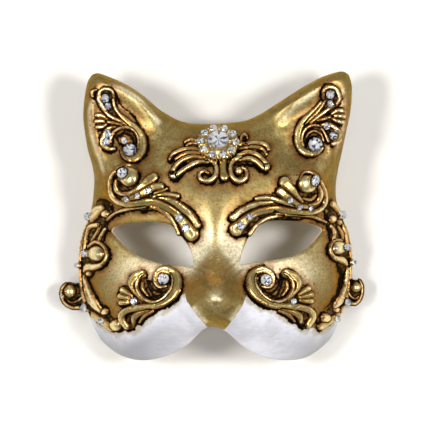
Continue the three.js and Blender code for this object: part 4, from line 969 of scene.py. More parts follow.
def cut_eye(places, outline):
    """Moves the places at the edge of an eye hole onto it, and says which cells it takes out."""
    x, y = places[..., 0], places[..., 1]
    far, along_it = nearest(outline, x, y)
    hollow = inside(outline, x, y)
    gone = hollow | (far < EYE_SNAP)
    taken = np.sum(corners_of(gone), axis=0)
    cut = (taken == 4) & np.any(corners_of(hollow & (far >= EYE_SNAP)), axis=0)
    partly = (taken > 0) & ~cut
    touched = np.zeros(gone.shape, bool)
    # the four are views, so this marks the corners of the cells in touched
    for corner in corners_of(touched):
        corner |= partly
    moved = touched & gone
    steps = along_it[moved] * (len(outline) - 1)
    for axis in (0, 1):
        places[..., axis][moved] = np.interp(steps, np.arange(len(outline)), outline[:, axis])
    return cut


def rim_directions(places):
    """At the rim the wall's thickness goes straight in, level with the table."""
    loop = [(0, i) for i in range(SHELL_COLUMNS)] + [(j, SHELL_COLUMNS) for j in range(SHELL_ROWS)]
    loop += [(SHELL_ROWS, i) for i in range(SHELL_COLUMNS, 0, -1)]
    loop += [(j, 0) for j in range(SHELL_ROWS, 0, -1)]
    rows, columns = np.array(loop).T
    line = places[rows, columns]
    ahead = np.roll(line, -1, axis=0) - np.roll(line, 1, axis=0)
    outward = np.stack([ahead[:, 1], -ahead[:, 0], np.zeros(len(line))], axis=1)
    outward /= np.maximum(np.linalg.norm(outward, axis=1, keepdims=True), TINY)
    return rows, columns, outward


def rib_distances(x, y, ribs):
    """How far each place on the face is from the edge of the nearest ridge of any cast."""
    closest = np.full(x.shape, FAR)
    for one in ribs:
        line = spline(one["line"], 4) if "line" in one else np.array([one["at"], one["at"]])
        low, high = line.min(axis=0) - RIB_REACH, line.max(axis=0) + RIB_REACH
        window = (x > low[0]) & (x < high[0]) & (y > low[1]) & (y < high[1])
        far, place = nearest(line, x[window], y[window])
        closest[window] = np.minimum(closest[window], far - half_width(one, place) * FULLNESS)
    return closest


def surface_waves(x, y):
    """The unevenness of the shell, which ends at its edges."""
    to_rim = np.minimum(nearest(BOTTOM_EDGE, x, y)[0], nearest(TOP_EDGE, x, y)[0])
    to_edge = np.minimum(to_rim, side_distance(x, y))
    return waves(SHELL_WAVES, x, y) * smoothstep(to_edge, 0, WAVES_FADE)


def shell_thickness(x, y):
    tips = np.minimum(*(np.hypot(x - e[-1, 0], y - e[-1, 1]) for e in (LEFT_EDGE, RIGHT_EDGE)))
    return mix(TIP_THICKNESS, SHELL_THICKNESS, smoothstep(tips, 1, TIP_REACH))


def dark_and_shadow_distances(x, y, height, ribs):
    """How far each place is from the dark paint beside the casts, which reaches further below them as
    painted shadow and towards the nose.
    """
    drift_x, drift_y = DARK_AND_SHADOW_DRIFT
    flat_x = unrolled(x, y, height)
    drifted = rib_distances(flat_x + np.sign(x) * drift_x, y + drift_y, ribs)
    return np.minimum(rib_distances(flat_x, y, ribs + DARK_LINES), drifted)


def shell_mesh(ribs):
    places = sheet_places()
    x, y = places[..., 0].copy(), places[..., 1].copy()
    normals = grid_normals(np.dstack([x, y, face_height(x, y)]))
    rim_rows, rim_columns, outward = rim_directions(places)
    normals[rim_rows, rim_columns] = outward
    cut = np.zeros((SHELL_ROWS, SHELL_COLUMNS), bool)
    to_eye = np.full(x.shape, FAR)
    for outline in EYES:
        cut |= cut_eye(places, outline)
        to_eye = np.minimum(to_eye, nearest(outline, places[..., 0], places[..., 1])[0])
    x, y = places[..., 0], places[..., 1]
    height = face_height(x, y)
    plain = np.dstack([x, y, height])
    lip = EYE_LIP * (1 - np.sqrt(1 - (1 - np.minimum(to_eye / EYE_LIP, 1)) ** 2))
    outer = plain + normals * (surface_waves(x, y) - lip)[..., None]
    back = plain - normals * shell_thickness(x, y)[..., None]
    verts, faces, used = slab(outer, back, ~cut)
    white = white_edge(x) - y
    values = slab_values(used, {
        "near": (dark_and_shadow_distances(x, y, height, ribs), FAR),
        "white": (white, -FAR),
        "white_painted_shade": (white_shade_of(x, white), 0.0),
        "warm": (warmth(x, y), 0.0),
        "ruddy": (ruddiness(x, y), 0.0),
        "steep": (1 - normals[..., 2], 0.0),
        "pale": (paleness(x, y), 0.0),
        "shade_and_streaks": (shade_and_streaks_of(x, y), 0.0),
        "lining": (np.zeros(x.shape), 1.0),
    })
    return mesh_piece("papier_mache_shell_gilded", verts, faces, [SHELL_PAINT], values)


# Where the shell is white, rubbed brown, worn pale with painted highlights, and darker with painted shade


def white_edge(x):
    return np.interp(x, *np.array(WHITE_EDGE).T)


def warmth(x, y):
    """Where the gilding is rubbed brown: the lower bridge of the nose and the lids."""
    nose = 1 - smoothstep(np.abs(x) / along(NOSE_STAIN["reach"], y), *NOSE_STAIN["edge"])
    nose = nose * smoothstep(y, *NOSE_STAIN["bottom"])
    nose = nose * smoothstep(y, *NOSE_STAIN["top"])
    to_pad = np.hypot(x - NOSE_TIP["x"], y - NOSE_TIP["y"]) / NOSE_STAIN["pad"]
    nose = nose * (1 - np.exp(-(to_pad**2)))
    lids = np.zeros(x.shape)
    for outline in EYES:
        over = y > outline[:, 1].max() - LID["low"]
        beside = np.abs(x - outline[:, 0].mean()) < LID["half"]
        lid = over * beside * smoothstep(nearest(outline, x, y)[0], *LID["fade"])
        lids = np.maximum(lids, lid)
    return np.clip(np.maximum(nose, LID["high"] * lids), 0, 1)


def swells(spots, x, y):
    return np.sum([swell(spot, x, y) for spot in spots], axis=0)


def ruddiness(x, y):
    """Where the brown of the nose is reddest: in the middle of the bridge, and low at its sides."""
    return np.clip(swells(NOSE_RUDDY, x, y) + waves(RUDDY_WAVES, x, y), 0, 1)


def white_shade_of(x, depth):
    """Painted shade on the white: greyer away from the nose, on the left side most, and low down."""
    return smoothstep(np.abs(x - WHITE_SHADE["middle"]), *WHITE_SHADE["across"]) * smoothstep(depth, *WHITE_SHADE["down"])


def paleness(x, y):
    """Where the gilding is worn to its pale ground and painted as highlights: soft spots, and along some
    edges.
    """
    worn = np.clip(swells(PALE_SPOTS, x, y), 0, 1)
    patchy = PALE_LINE["even"] + waves(PALE_LINE["waves"], x, y)
    for line in PALE_LINES:
        far, place = nearest(spline(line), x, y)
        ends = smoothstep(place, 0, PALE_LINE["ends"]) * smoothstep(1 - place, 0, PALE_LINE["ends"])
        rubbed = PALE_LINE["high"] * np.exp(-((far / PALE_LINE["wide"]) ** 2)) * ends * patchy
        worn = np.maximum(worn, rubbed)
    return np.clip(worn, 0, 1)


def shade_and_streaks_of(x, y):
    """Spots of painted shade, and the dark streaks that run outwards and up from below the tip of the
    nose.
    """
    form = NOSE_STREAKS
    across = (y - np.abs(x) * form["steep"]) / math.hypot(1, form["steep"])
    streaks = smoothstep(ripple(across, x / form["long"], form["size"], 9), *form["ease"])
    zone = smoothstep(form["half"] - np.abs(x), 0, form["side"]) * smoothstep(y, *form["bottom"])
    zone = zone * (1 - smoothstep(y, *form["top"]))
    zone = zone * smoothstep(y - white_edge(x), *form["edge"])
    spots = np.clip(swells(SHADE_SPOTS, x, y), 0, 1)
    return np.maximum(spots, form["high"] * streaks * zone)


# Casts: a height above the face for each place, from ridges, domes and ground


def fuse(a, b):
    """The higher of two forms, with a small fillet between them."""
    close = np.maximum(JOIN - np.abs(a - b), 0) / JOIN
    return np.maximum(a, b) + close * close * JOIN / 4


def one_form(one, x, y):
    """The height of one ridge, dome or patch of ground, and how far inside its edge a place is."""
    if "at" in one:
        far = np.hypot(x - one["at"][0], y - one["at"][1])
        half, tall, power = one["radius"], one["high"], DOME_POWER
    else:
        far, place = nearest(spline(one["line"], 6), x, y)
        half = half_width(one, place) * (1 + waves(WIDTH_WAVES, x, y))
        if "high" not in one:
            return np.minimum(GROUND, GROUND + (half - far) * FLANK), half - far
        tall = one["high"] * (NARROW["least"] + NARROW["more"] * half / (max(one["wide"]) / 2))
        half, power = half * FULLNESS, CROWN_POWER
    inset = half - far
    crown = tall * np.sqrt(np.clip(1 - (far / half) ** power, 0, 1))
    if "wide" in one:
        dish = np.exp(-((DISH["sharp"] * far / half) ** 2)) * smoothstep(half, DISH["low"], DISH["high"])
        crown = crown * (1 - DISH["deep"] * dish)
    return np.where(inset > 0, crown, inset * FLANK), inset


def cast_form(cast, x, y):
    """The height of a whole cast, how far inside the edge of its topmost ridge a place is,
    and how much lower the next ridge lies there, which is nothing in the valley between two."""
    height = np.full(x.shape, -SUNK)
    first, second = height.copy(), height.copy()
    inset = np.full(x.shape, -FAR)
    beside = inset.copy()
    on_ground = np.ones(x.shape, bool)
    for one in cast:
        line = points_of(one)
        margin = max(widths(one)) * FULLNESS / 2 + FORM_MARGIN
        low, high = line.min(axis=0) - margin, line.max(axis=0) + margin
        rows = (y[:, 0] > low[1]) & (y[:, 0] < high[1])
        columns = (x[0] > low[0]) & (x[0] < high[0])
        window = np.ix_(rows, columns)
        form, edge = one_form(one, x[window], y[window])
        over = form > height[window]
        on_ground[window] = np.where(over, "high" not in one, on_ground[window])
        inset[window] = np.where(over, edge, inset[window])
        if "high" in one:
            beside[window] = np.maximum(beside[window], edge)
            second[window] = np.maximum(second[window], np.minimum(first[window], form))
            first[window] = np.maximum(first[window], form)
        height[window] = fuse(height[window], form)
    inset = np.where(on_ground, beside, inset)
    seam = np.where(second > GROUND, first - second, SEAM_WIDE)
    height -= SEAM_DEEP * (1 - smoothstep(seam, 0, SEAM_WIDE))
    height = mix(height, blurred(height, 1), SOFTEN)
    bumps = waves(CAST_WAVES, x, y) * (height > WAVES_FROM)
    return np.maximum(height + bumps, -SUNK), inset, seam


def cast_grid(cast):
    points = np.vstack([points_of(one) for one in cast])
    low, high = points.min(axis=0) - GRID_MARGIN, points.max(axis=0) + GRID_MARGIN
    return np.meshgrid(*(np.arange(low[a], high[a], RELIEF_CELL) for a in (0, 1)))


def crest_wear_and_highlight(x, height):
    """Where the side casts are worn to their pale ground and painted as highlights: their highest places.
    """
    return smoothstep(np.abs(x), *SIDE_WEAR_AND_HIGHLIGHT["across"]) * smoothstep(height, *SIDE_WEAR_AND_HIGHLIGHT["high"])


def sink_stones(height, x, y, stones):
    """Makes a pocket and a low collar for each stone, and gives the height of its girdle."""
    girdles = []
    for sx, sy, radius in stones:
        far = np.hypot(x - sx, y - sy)
        under = far < radius * BED["under"]
        girdle = max(np.percentile(height[under], BED["rank"]), BED["least"] + PAVILION * radius)
        girdles.append(girdle)
        collar = girdle - BED["below"] - np.maximum(far - radius * BED["collar"], 0) * FLANK
        around = far < radius * BED["reach"]
        height = np.where(around, np.clip(height, collar, girdle + BED["above"]), height)
        pocket = girdle - PAVILION * radius - BED["clear"]
        height = np.where(far < radius * BED["pocket"], pocket, height)
    return height, girdles


def relief(cast, stones, place_on):
    """A cast's body on its face, the values of its points, and the seats of its stones."""
    x, y = cast_grid(cast)
    height, inset, seam = cast_form(cast, x, y)
    height, girdles = sink_stones(height, x, y, stones)
    base = place_on(x, y)
    normals = grid_normals(base)
    shown = np.maximum(height, 0)
    top = base + normals * height[..., None]
    bottom = base - normals * (SUNK + BACKING)
    verts, faces, used = slab(top, bottom, np.max(corners_of(height), axis=0) > KEPT_FROM)
    values = slab_values(used, {
        "groove": (blurred(shown, GROOVE_CELLS) - shown, 1.0),
        "broad": (blurred(shown, BROAD_CELLS) - shown, 1.0),
        "inset": (inset, -1.0),
        "seam": (seam, SEAM_WIDE),
        # worn: wear and painted highlight on the highest places of the side casts
        "worn": (crest_wear_and_highlight(x, shown) * (place_on is on_face), 0.0),
    })
    seats = []
    for (sx, sy, radius), girdle in zip(stones, girdles):
        j, i = np.argmin(np.abs(y[:, 0] - sy)), np.argmin(np.abs(x[0] - sx))
        seats.append((base[j, i] + normals[j, i] * girdle, normals[j, i], radius))
    return verts, faces, values, seats


# Cut stones with foil behind them


def turn_to(normal):
    """Axes with z along the normal, as the columns of a matrix."""
    z = normal / np.linalg.norm(normal)
    x = np.cross((0, 1, 0.01), z)
    x /= np.linalg.norm(x)
    return np.stack([x, np.cross(z, x), z], axis=1)


def gem(radius, sides, turn):
    """A round brilliant: table, star, kite and girdle above, and a cone of foiled facets below."""
    verts = []
    for wide, high, offset in GEM_RINGS:
        angles = turn + (np.arange(sides) + offset) * 2 * np.pi / sides
        ring = np.stack([np.cos(angles) * wide, np.sin(angles) * wide, angles * 0 + high], axis=1)
        verts.append(ring * radius)
    verts.append([[0, 0, -PAVILION * radius]])
    verts = np.vstack(verts)
    faces = [list(range(sides))]
    foiled = [0]
    culet = len(verts) - 1
    for n in range(sides):
        m = (n + 1) % sides
        table, kite, girdle, belt, cone = ((k * sides + n, k * sides + m) for k in range(5))
        faces += [[table[0], kite[0], table[1]], [kite[0], kite[1], table[1]]]
        faces += [[kite[0], girdle[0], girdle[1]], [kite[0], girdle[1], kite[1]]]
        faces += [[girdle[0], belt[0], belt[1], girdle[1]]]
        faces += [[belt[0], cone[0], belt[1]], [cone[0], cone[1], belt[1]], [cone[0], culet, cone[1]]]
        foiled += [0, 0, 0, 0, 0, 1, 1, 1]
    return verts, faces, foiled


def set_stone(name, node, point, normal, radius, sides=10, tip=0.0):
    """A stone on a cast, tipped to the front where the wall below it is steep."""
    verts, faces, foiled = gem(radius, sides, rng.uniform(0, math.tau))
    # which facets are painted as bright reflections and which as dark ones
    painted_sparkle = rng.uniform(TIPPED_LEAST_SPARKLE if tip else 0, 1, len(faces))
    placed = verts @ turn_to(normal + np.array([0, 0, tip])).T + point
    piece = mesh_piece(name, placed, faces, [CRYSTAL, FOIL], face_slots=foiled, smooth_to=None)
    piece.data.attributes.new("painted_sparkle", "FLOAT", "FACE").data.foreach_set("value", painted_sparkle)
    hand_over(piece, node)


# Turned parts of the brooch


def lathe(profile, sides, at=(0, 0), lean=(0, 0)):
    """A closed turned body from (radius, height) pairs, around an axis at a place that leans."""
    angles = np.arange(sides) * math.tau / sides
    ring = np.stack([np.cos(angles), np.sin(angles)], axis=1)
    verts = np.vstack([
        np.column_stack([ring * radius + np.array(at), np.full(sides, height)])
        for radius, height in profile
    ])
    faces = []
    for k in range(len(profile) - 1):
        for n in range(sides):
            m = (n + 1) % sides
            faces.append([k * sides + n, k * sides + m, (k + 1) * sides + m, (k + 1) * sides + n])
    faces.append(list(range(sides))[::-1])
    faces.append([(len(profile) - 1) * sides + n for n in range(sides)])
    verts[:, :2] += np.outer(verts[:, 2] - verts[:, 2].min(), lean)
    return verts, faces


def cup(radius, girdle, wall, at=(0, 0)):
    """A thin-walled cup that a stone drops into."""
    base = girdle - PAVILION * radius - 0.25
    profile = [
        (radius * 0.6, base - 0.5), (radius + wall * 0.6, base),
        (radius + wall, girdle - 0.3), (radius + wall * 0.7, girdle + 0.12),
        (radius + 0.04, girdle + 0.08), (radius + 0.02, base + 0.1),
    ]
    return lathe(profile, max(14, int(radius * 7)), at)


# Materials


def srgb(red, green, blue):
    """A colour as it is seen on a screen, 0 to 255, as Blender takes it."""
    parts = [v / 255 for v in (red, green, blue)]
    return [*(v / 12.92 if v <= 0.04045 else ((v + 0.055) / 1.055) ** 2.4 for v in parts), 1]


class Paint:
    """A material, with one short call for each kind of node."""

    def __init__(self, name, roughness, metallic=0.0):
        self.material = bpy.data.materials.new(name)
        self.material.use_nodes = True
        self.tree = self.material.node_tree
        self.shader = self.tree.nodes["Principled BSDF"]
        self.set("Roughness", roughness)
        self.set("Metallic", metallic)
        self.place = self.tree.nodes.new("ShaderNodeTexCoord").outputs["Object"]

    def set(self, socket, value):
        self.feed(value, self.shader.inputs[socket])

    def feed(self, value, socket):
        if isinstance(value, bpy.types.NodeSocket):
            self.tree.links.new(value, socket)
        else:
            socket.default_value = value

    def node(self, kind, inputs, **settings):
        node = self.tree.nodes.new(kind)
        for key, value in settings.items():
            setattr(node, key, value)
        for key, value in inputs.items():
            self.feed(value, node.inputs[key])
        return node

    def field(self, name):
        return self.node("ShaderNodeAttribute", {}, attribute_name=name).outputs["Fac"]

    def math(self, operation, a, b):
        return self.node("ShaderNodeMath", {0: a, 1: b}, operation=operation).outputs[0]

    def plus(self, a, b):
        return self.math("ADD", a, b)

    def times(self, a, b):
        return self.math("MULTIPLY", a, b)

    def larger(self, a, b):
        return self.math("MAXIMUM", a, b)

    def rest(self, value):
        return self.math("SUBTRACT", 1.0, value)

    def ease(self, value, low, high, start=0.0, end=1.0):
        """Start below low, end above high, and a soft passage between."""
        inputs = {"Value": value, "From Min": low, "From Max": high, "To Min": start, "To Max": end}
        node = self.node("ShaderNodeMapRange", inputs, interpolation_type="SMOOTHSTEP")
        return node.outputs["Result"]

    def ragged(self, value, noise, by):
        """A value that a noise moves by so much each way."""
        return self.plus(value, self.ease(noise, 0.3, 0.7, -by, by))

    def noise(self, size, detail=3, rough=0.55, bend=0, scale=None, turn=0):
        """Mottling of about one size in millimetres, around 0.5, which a scale draws out."""
        place = self.place
        if scale:
            inputs = {"Vector": place, "Scale": scale, "Rotation": (0, 0, turn)}
            place = self.node("ShaderNodeMapping", inputs).outputs["Vector"]
        inputs = {
            "Vector": place, "Scale": 1 / (size * MM), "Detail": detail,
            "Roughness": rough, "Distortion": bend,
        }
        return self.node("ShaderNodeTexNoise", inputs).outputs["Fac"]

    def cells(self, size):
        """How far a place is from the middle of its cell, cells of about one size in millimetres."""
        inputs = {"Vector": self.place, "Scale": 1 / (size * MM)}
        return self.node("ShaderNodeTexVoronoi", inputs).outputs["Distance"]

    def blend(self, factor, a, b):
        node = self.node("ShaderNodeMix", {"Factor": factor}, data_type="RGBA")
        self.feed(a, node.inputs["A"])
        self.feed(b, node.inputs["B"])
        return node.outputs["Result"]

    def coats(self, ground, *layers):
        """Colours over a ground, each as (colour, value, none at, most at, share at most)."""
        for colour, value, low, high, most in layers:
            ground = self.blend(self.ease(value, low, high, 0, most), ground, colour)
        return ground

    def bump(self, height, form, normal=None):
        """Relief finer than the mesh, over any that a normal has."""
        depth, strength = form
        inputs = {"Height": height, "Distance": depth * MM, "Strength": strength}
        if normal is not None:
            inputs["Normal"] = normal
        return self.node("ShaderNodeBump", inputs).outputs["Normal"]


GOLD_PALE = srgb(234, 220, 166)
GOLD = srgb(188, 165, 99)
GOLD_OLIVE = srgb(146, 127, 72)
GOLD_UMBER = srgb(88, 58, 26)
RUST = srgb(160, 100, 36)
NOSE_BROWN = srgb(180, 126, 54)
NOSE_OLIVE = srgb(126, 100, 48)
HOLLOW_BROWN = srgb(98, 62, 22)
SOOT = srgb(12, 9, 8)
EDGE_TINT = srgb(255, 226, 160)
PEARL = srgb(214, 214, 222)
PEARL_GREY = srgb(152, 153, 160)
LINING = srgb(205, 190, 162)
CREAM_WEAR_AND_HIGHLIGHT = srgb(250, 240, 208)
PATINA_AND_SHADE = srgb(100, 82, 46)
BRASS_BRIGHT = srgb(246, 230, 184)
BRASS_DULL = srgb(214, 188, 126)
CRYSTAL_TINT = (0.98, 0.99, 1, 1)
FOIL_BRIGHT = (1, 1, 1, 1)
FOIL_PAINTED_DARK = (0.1, 0.12, 0.24, 1)
FLOOR_TINT = srgb(226, 224, 220)

# How metallic the dark paint is, which keeps it from shining white
SOOT_METAL = 0.96
CRYSTAL_IOR = 1.58

# The mottling of each material, sizes in millimetres
CLOUD = dict(size=14, detail=4)
PATCH = dict(size=5, detail=5, rough=0.65)
FLECK = dict(size=1.1, rough=0.6)
GRAIN = dict(size=0.6, detail=2, rough=0.6)
BRUSH = dict(size=3, rough=0.6, scale=(0.35, 1.6, 1), turn=0.5)
STREAK = dict(size=2.2, detail=4, rough=0.6, scale=(0.25, 1.2, 1), turn=0.35)
SMEAR = dict(size=3, detail=4, rough=0.6, bend=0.3)
WISP = dict(size=1.8, detail=4, rough=0.7, bend=1.5)
RELIEF_PATCH = dict(size=2.6, detail=4, rough=0.65)
RELIEF_FLECK = dict(size=0.8, rough=0.6)
TARNISH = dict(size=3)
DOT_CELL = 2.2
SPECK_CELL = 9
# Bumps as (depth in millimetres, strength)
PATCH_BUMP = (0.25, 0.5)
FLECK_BUMP = (0.08, 0.6)
RELIEF_BUMP = (0.06, 0.5)


def nose_stain(paint):
    """Olive and reddish brown, with dark and pale wisps."""
    ruddy = paint.ease(paint.field("ruddy"), 0, 1, -0.2, 0.2)
    smear = paint.plus(paint.noise(**SMEAR), ruddy)
    wisp = paint.noise(**WISP)
    return paint.coats(
        NOSE_OLIVE,
        (NOSE_BROWN, smear, 0.3, 0.65, 1),
        (HOLLOW_BROWN, wisp, 0.5, 0.7, 0.6),
        (GOLD_PALE, wisp, 0.46, 0.3, 0.5),
    )


def dirt_dots(paint, near, patch):
    """Small dark flecks around the casts."""
    dots = paint.ease(paint.cells(DOT_CELL), 0.36, 0.2)
    dots = paint.times(dots, paint.ease(patch, 0.5, 0.58))
    return paint.times(dots, paint.ease(near, 5, 2.5, 0, 0.85))


def shell_paint():
    """Worn gold leaf above, pearly white on the cheeks, bare paper inside."""
    paint = Paint("gilded_papier_mache", 0.4)
    cloud, patch, fleck = (paint.noise(**form) for form in (CLOUD, PATCH, FLECK))
    near, warm, pale = (paint.field(name) for name in ("near", "warm", "pale"))
    halo = paint.ragged(near, patch, 1.2)
    # steep walls are painted darker as shade where they turn from the lamps, with some patina
    steep = paint.ease(paint.field("steep"), 0.04, 0.5, 0, 0.85)
    steep = paint.times(steep, paint.ease(pale, 0, 0.7, 1, 0.1))
    rubbed = paint.times(warm, paint.ease(fleck, 0.3, 0.6, 0.95, 0.7))

    # gold leaf, from its ground up to the dirt on it, with painted highlights and painted shade
    leaf = paint.blend(paint.ease(cloud, 0.35, 0.68, 0.2, 0.8), GOLD, GOLD_OLIVE)
    leaf = paint.coats(
        leaf,
        (GOLD_PALE, patch, 0.45, 0.7, 0.3),
        (GOLD_UMBER, paint.noise(**BRUSH), 0.5, 0.75, 0.35),
        (GOLD_UMBER, fleck, 0.48, 0.68, 0.55),
    )
    # worn pale ground and painted highlights, in cream
    leaf = paint.blend(paint.times(pale, paint.ease(fleck, 0.4, 0.62, 1.0, 0.55)), leaf, CREAM_WEAR_AND_HIGHLIGHT)
    leaf = paint.blend(rubbed, leaf, nose_stain(paint))
    # painted shade on the steep walls and in the shade spots, with some patina and the dark nose streaks
    shade_and_streaks = paint.larger(steep, paint.field("shade_and_streaks"))
    leaf = paint.blend(paint.times(shade_and_streaks, paint.ease(patch, 0.3, 0.65, 0.7, 1.0)), leaf, PATINA_AND_SHADE)
    leaf = paint.coats(
        leaf,
        (GOLD_UMBER, paint.noise(**GRAIN), 0.55, 0.72, 0.6),
        (RUST, halo, 4.2, 1, 0.5),
        (GOLD_UMBER, halo, 1.9, 0.3, 0.65),
    )
    leaf = paint.blend(dirt_dots(paint, near, patch), leaf, GOLD_UMBER)

    # the white of the cheeks, with painted shade away from the nose and low down
    white = paint.coats(
        paint.blend(paint.field("white_painted_shade"), PEARL, PEARL_GREY),
        (PEARL_GREY, cloud, 0.4, 0.7, 0.4),
        (PEARL_GREY, paint.noise(**STREAK), 0.45, 0.8, 0.35),
        (GOLD_OLIVE, halo, 3.4, 0.8, 0.6),
        (GOLD_UMBER, paint.cells(SPECK_CELL), 0.05, 0.03, 1),
    )

    # dark paint close to the casts, which reaches further below them as painted shadow, and the lining
    worn = paint.ragged(near, fleck, 0.35)
    worn = paint.plus(worn, paint.ease(patch, 0.35, 0.65, -0.3, 0.4))
    worn = paint.plus(worn, paint.ease(cloud, 0.4, 0.6, -0.2, 0.35))
    soot = paint.ease(worn, 0.75, 0.3)
    is_white = paint.ease(paint.ragged(paint.field("white"), patch, 0.4), -0.3, 0.3)
    is_lining = paint.ease(paint.field("lining"), 0.2, 0.6)
    colour = paint.blend(soot, paint.blend(is_white, leaf, white), SOOT)
    paint.set("Base Color", paint.blend(is_lining, colour, LINING))

    # how it shiness
    chalky = paint.larger(paint.ease(paint.larger(pale, warm), 0, 1, 0.65, 0.3), steep)
    metal = paint.times(paint.rest(paint.larger(is_white, is_lining)), chalky)
    paint.set("Metallic", paint.larger(metal, paint.times(soot, SOOT_METAL)))
    dull = paint.larger(is_lining, soot)
    plain = paint.larger(dull, paint.larger(steep, rubbed))
    paint.set("Coat Weight", paint.ease(plain, 0, 0.6, 0.25, 0))
    paint.set("Coat Roughness", 0.34)
    paint.set("Specular IOR Level", 0.3)
    paint.set("Specular Tint", EDGE_TINT)
    rough = paint.ease(patch, 0.3, 0.7, 0.34, 0.5)
    paint.set("Roughness", paint.plus(rough, paint.times(dull, 0.35)))
    paint.set("Normal", paint.bump(patch, PATCH_BUMP, paint.bump(fleck, FLECK_BUMP)))
    return paint.material


def relief_paint():
    """Gilded relief rubbed with dark paint, which stays in the grooves."""
    paint = Paint("antiqued_gilt", 0.32)
    patch, fleck = paint.noise(**RELIEF_PATCH), paint.noise(**RELIEF_FLECK)
    broad, inset = paint.field("broad"), paint.field("inset")

    # gilding: pale on the crests as wear and painted highlight, rusty on the flanks, umber in the wide
    # hollows
    gilt = paint.blend(paint.ease(patch, 0.35, 0.68), GOLD, GOLD_OLIVE)
    gilt = paint.coats(gilt, (GOLD_PALE, broad, -0.25, -0.8, 0.85))
    # the highest places of the side casts are cream, as wear and painted highlight
    worn = paint.times(paint.field("worn"), paint.ease(patch, 0.35, 0.6, 0.7, 0.1))
    gilt = paint.coats(
        paint.blend(worn, gilt, CREAM_WEAR_AND_HIGHLIGHT),
        (RUST, paint.ragged(inset, patch, 0.5), 1.3, 0.3, 0.85),
        (GOLD_UMBER, paint.ragged(broad, patch, 0.25), -0.1, 0.6, 0.7),
    )

    # dark paint: beside the ridges but not far from them, in grooves and in seams
    beside = paint.ease(paint.ragged(inset, fleck, 0.14), 0.32, 0.08)
    soot = paint.math("MINIMUM", beside, paint.ease(paint.ragged(inset, patch, 0.9), -4, -2.6))
    deep = paint.ragged(paint.field("groove"), fleck, 0.05)
    soot = paint.larger(soot, paint.ease(deep, 0.12, 0.26))
    valley = paint.ragged(paint.field("seam"), fleck, 0.1)
    soot = paint.larger(soot, paint.ease(valley, 0.85, 0.4))
    ground = paint.ragged(inset, fleck, 0.3)
    brown = paint.times(paint.ease(ground, -0.15, -0.5), paint.ease(ground, -1.8, -1))
    brown = paint.times(brown, paint.ease(patch, 0.44, 0.62))
    paint.set("Base Color", paint.blend(soot, gilt, paint.blend(brown, SOOT, HOLLOW_BROWN)))

    metal = paint.times(paint.rest(soot), 0.8)
    black = paint.times(soot, paint.rest(brown))
    paint.set("Metallic", paint.plus(metal, paint.times(black, SOOT_METAL)))
    paint.set("Coat Weight", paint.ease(soot, 0, 1, 0.3, 0.0))
    paint.set("Coat Roughness", 0.2)
    paint.set("Specular Tint", EDGE_TINT)
    paint.set("Roughness", paint.ease(soot, 0, 1, paint.ease(patch, 0.3, 0.7, 0.22, 0.36), 0.6))
    paint.set("Normal", paint.bump(fleck, RELIEF_BUMP))
    return paint.material


def brooch_paint():
    paint = Paint("polished_gilt_brass", 0.18, 1.0)
    tarnish = paint.noise(**TARNISH)
    paint.set("Base Color", paint.blend(paint.ease(tarnish, 0.4, 0.7), BRASS_BRIGHT, BRASS_DULL))
    paint.set("Roughness", paint.ease(tarnish, 0.3, 0.7, 0.14, 0.26))
    return paint.material


def crystal_paint():
    paint = Paint("cut_crystal_clear", 0.02)
    paint.set("Base Color", CRYSTAL_TINT)
    paint.set("Transmission Weight", 1.0)
    paint.set("IOR", CRYSTAL_IOR)
    return paint.material


def foil_paint():
    """Silver foil, painted dark behind about a quarter of the facets as painted reflections."""
    paint = Paint("silver_foil", 0.25, 0.3)
    dark = paint.ease(paint.field("painted_sparkle"), 0.36, 0.2)
    paint.set("Base Color", paint.blend(dark, FOIL_BRIGHT, FOIL_PAINTED_DARK))
    return paint.material


def floor_paint():
    paint = Paint("pale_floor", 0.7)
    paint.set("Base Color", FLOOR_TINT)
    return paint.material


SHELL_PAINT = shell_paint()
RELIEF_PAINT = relief_paint()
BROOCH_PAINT = brooch_paint()
CRYSTAL = crystal_paint()
FOIL = foil_paint()


# Assembly


def placed_scroll(place):
    at, across, up = (np.array(place[key]) for key in ("at", "across", "up"))
    moved = []
    for one in LEAF_SCROLL:
        line = np.array(one["line"], float)
        moved.append({**one, "line": at + line[:, :1] * across + line[:, 1:] * up})
    return moved


CASTS = {
    "left_ear": LEFT_EAR,
    "right_ear": RIGHT_EAR,
    "left_brow": LEFT_BROW,
    "right_brow": RIGHT_BROW,
    "left_cheek": placed_scroll(CAST_PLACES["left_cheek"]),
    "right_cheek": placed_scroll(CAST_PLACES["right_cheek"]),
    "left_side": [*LEFT_SIDE, SIDE_BANDS["left"]],
    "right_side": [*RIGHT_SIDE, SIDE_BANDS["right"]],
}


def beside_snail(side, points):
    form = SNAILS[side]
    return np.array(form["at"]) + np.array(points) * (form["across"], 1) * SNAIL["radius"]


def snail_cast(side):
    """The snail's own ridges and dome, on a level disc beside the wall."""
    at, radius = SNAILS[side]["at"], SNAILS[side]["dome"]
    return [
        rib(3, [1, 1.4, 1.5, 1.7, 2], beside_snail(side, SNAIL_RING)),
        rib(2, [0.9, 1.3, 1.6], beside_snail(side, SNAIL_CURL)),
        floor([5, 5], beside_snail(side, SNAIL_ARM)),
        floor([6, 6], beside_snail(side, SNAIL_LOBE)),
        floor([2 * (radius + SNAIL["margin"])] * 2, [at, at]),
        dome(SNAIL["rise"], radius, at),
    ]


def level_plane(x, y):
    return np.dstack([x, y, np.full(x.shape, SNAIL["high"])])


def add_relief(name, node, bodies):
    verts, faces = joined([(points, polygons) for points, polygons, _, _ in bodies])
    fields = [values for _, _, values, _ in bodies]
    values = {key: np.concatenate([field[key] for field in fields]) for key in fields[0]}
    piece = mesh_piece(f"{name}_relief", verts, faces, [RELIEF_PAINT], values)
    hand_over(piece, node)


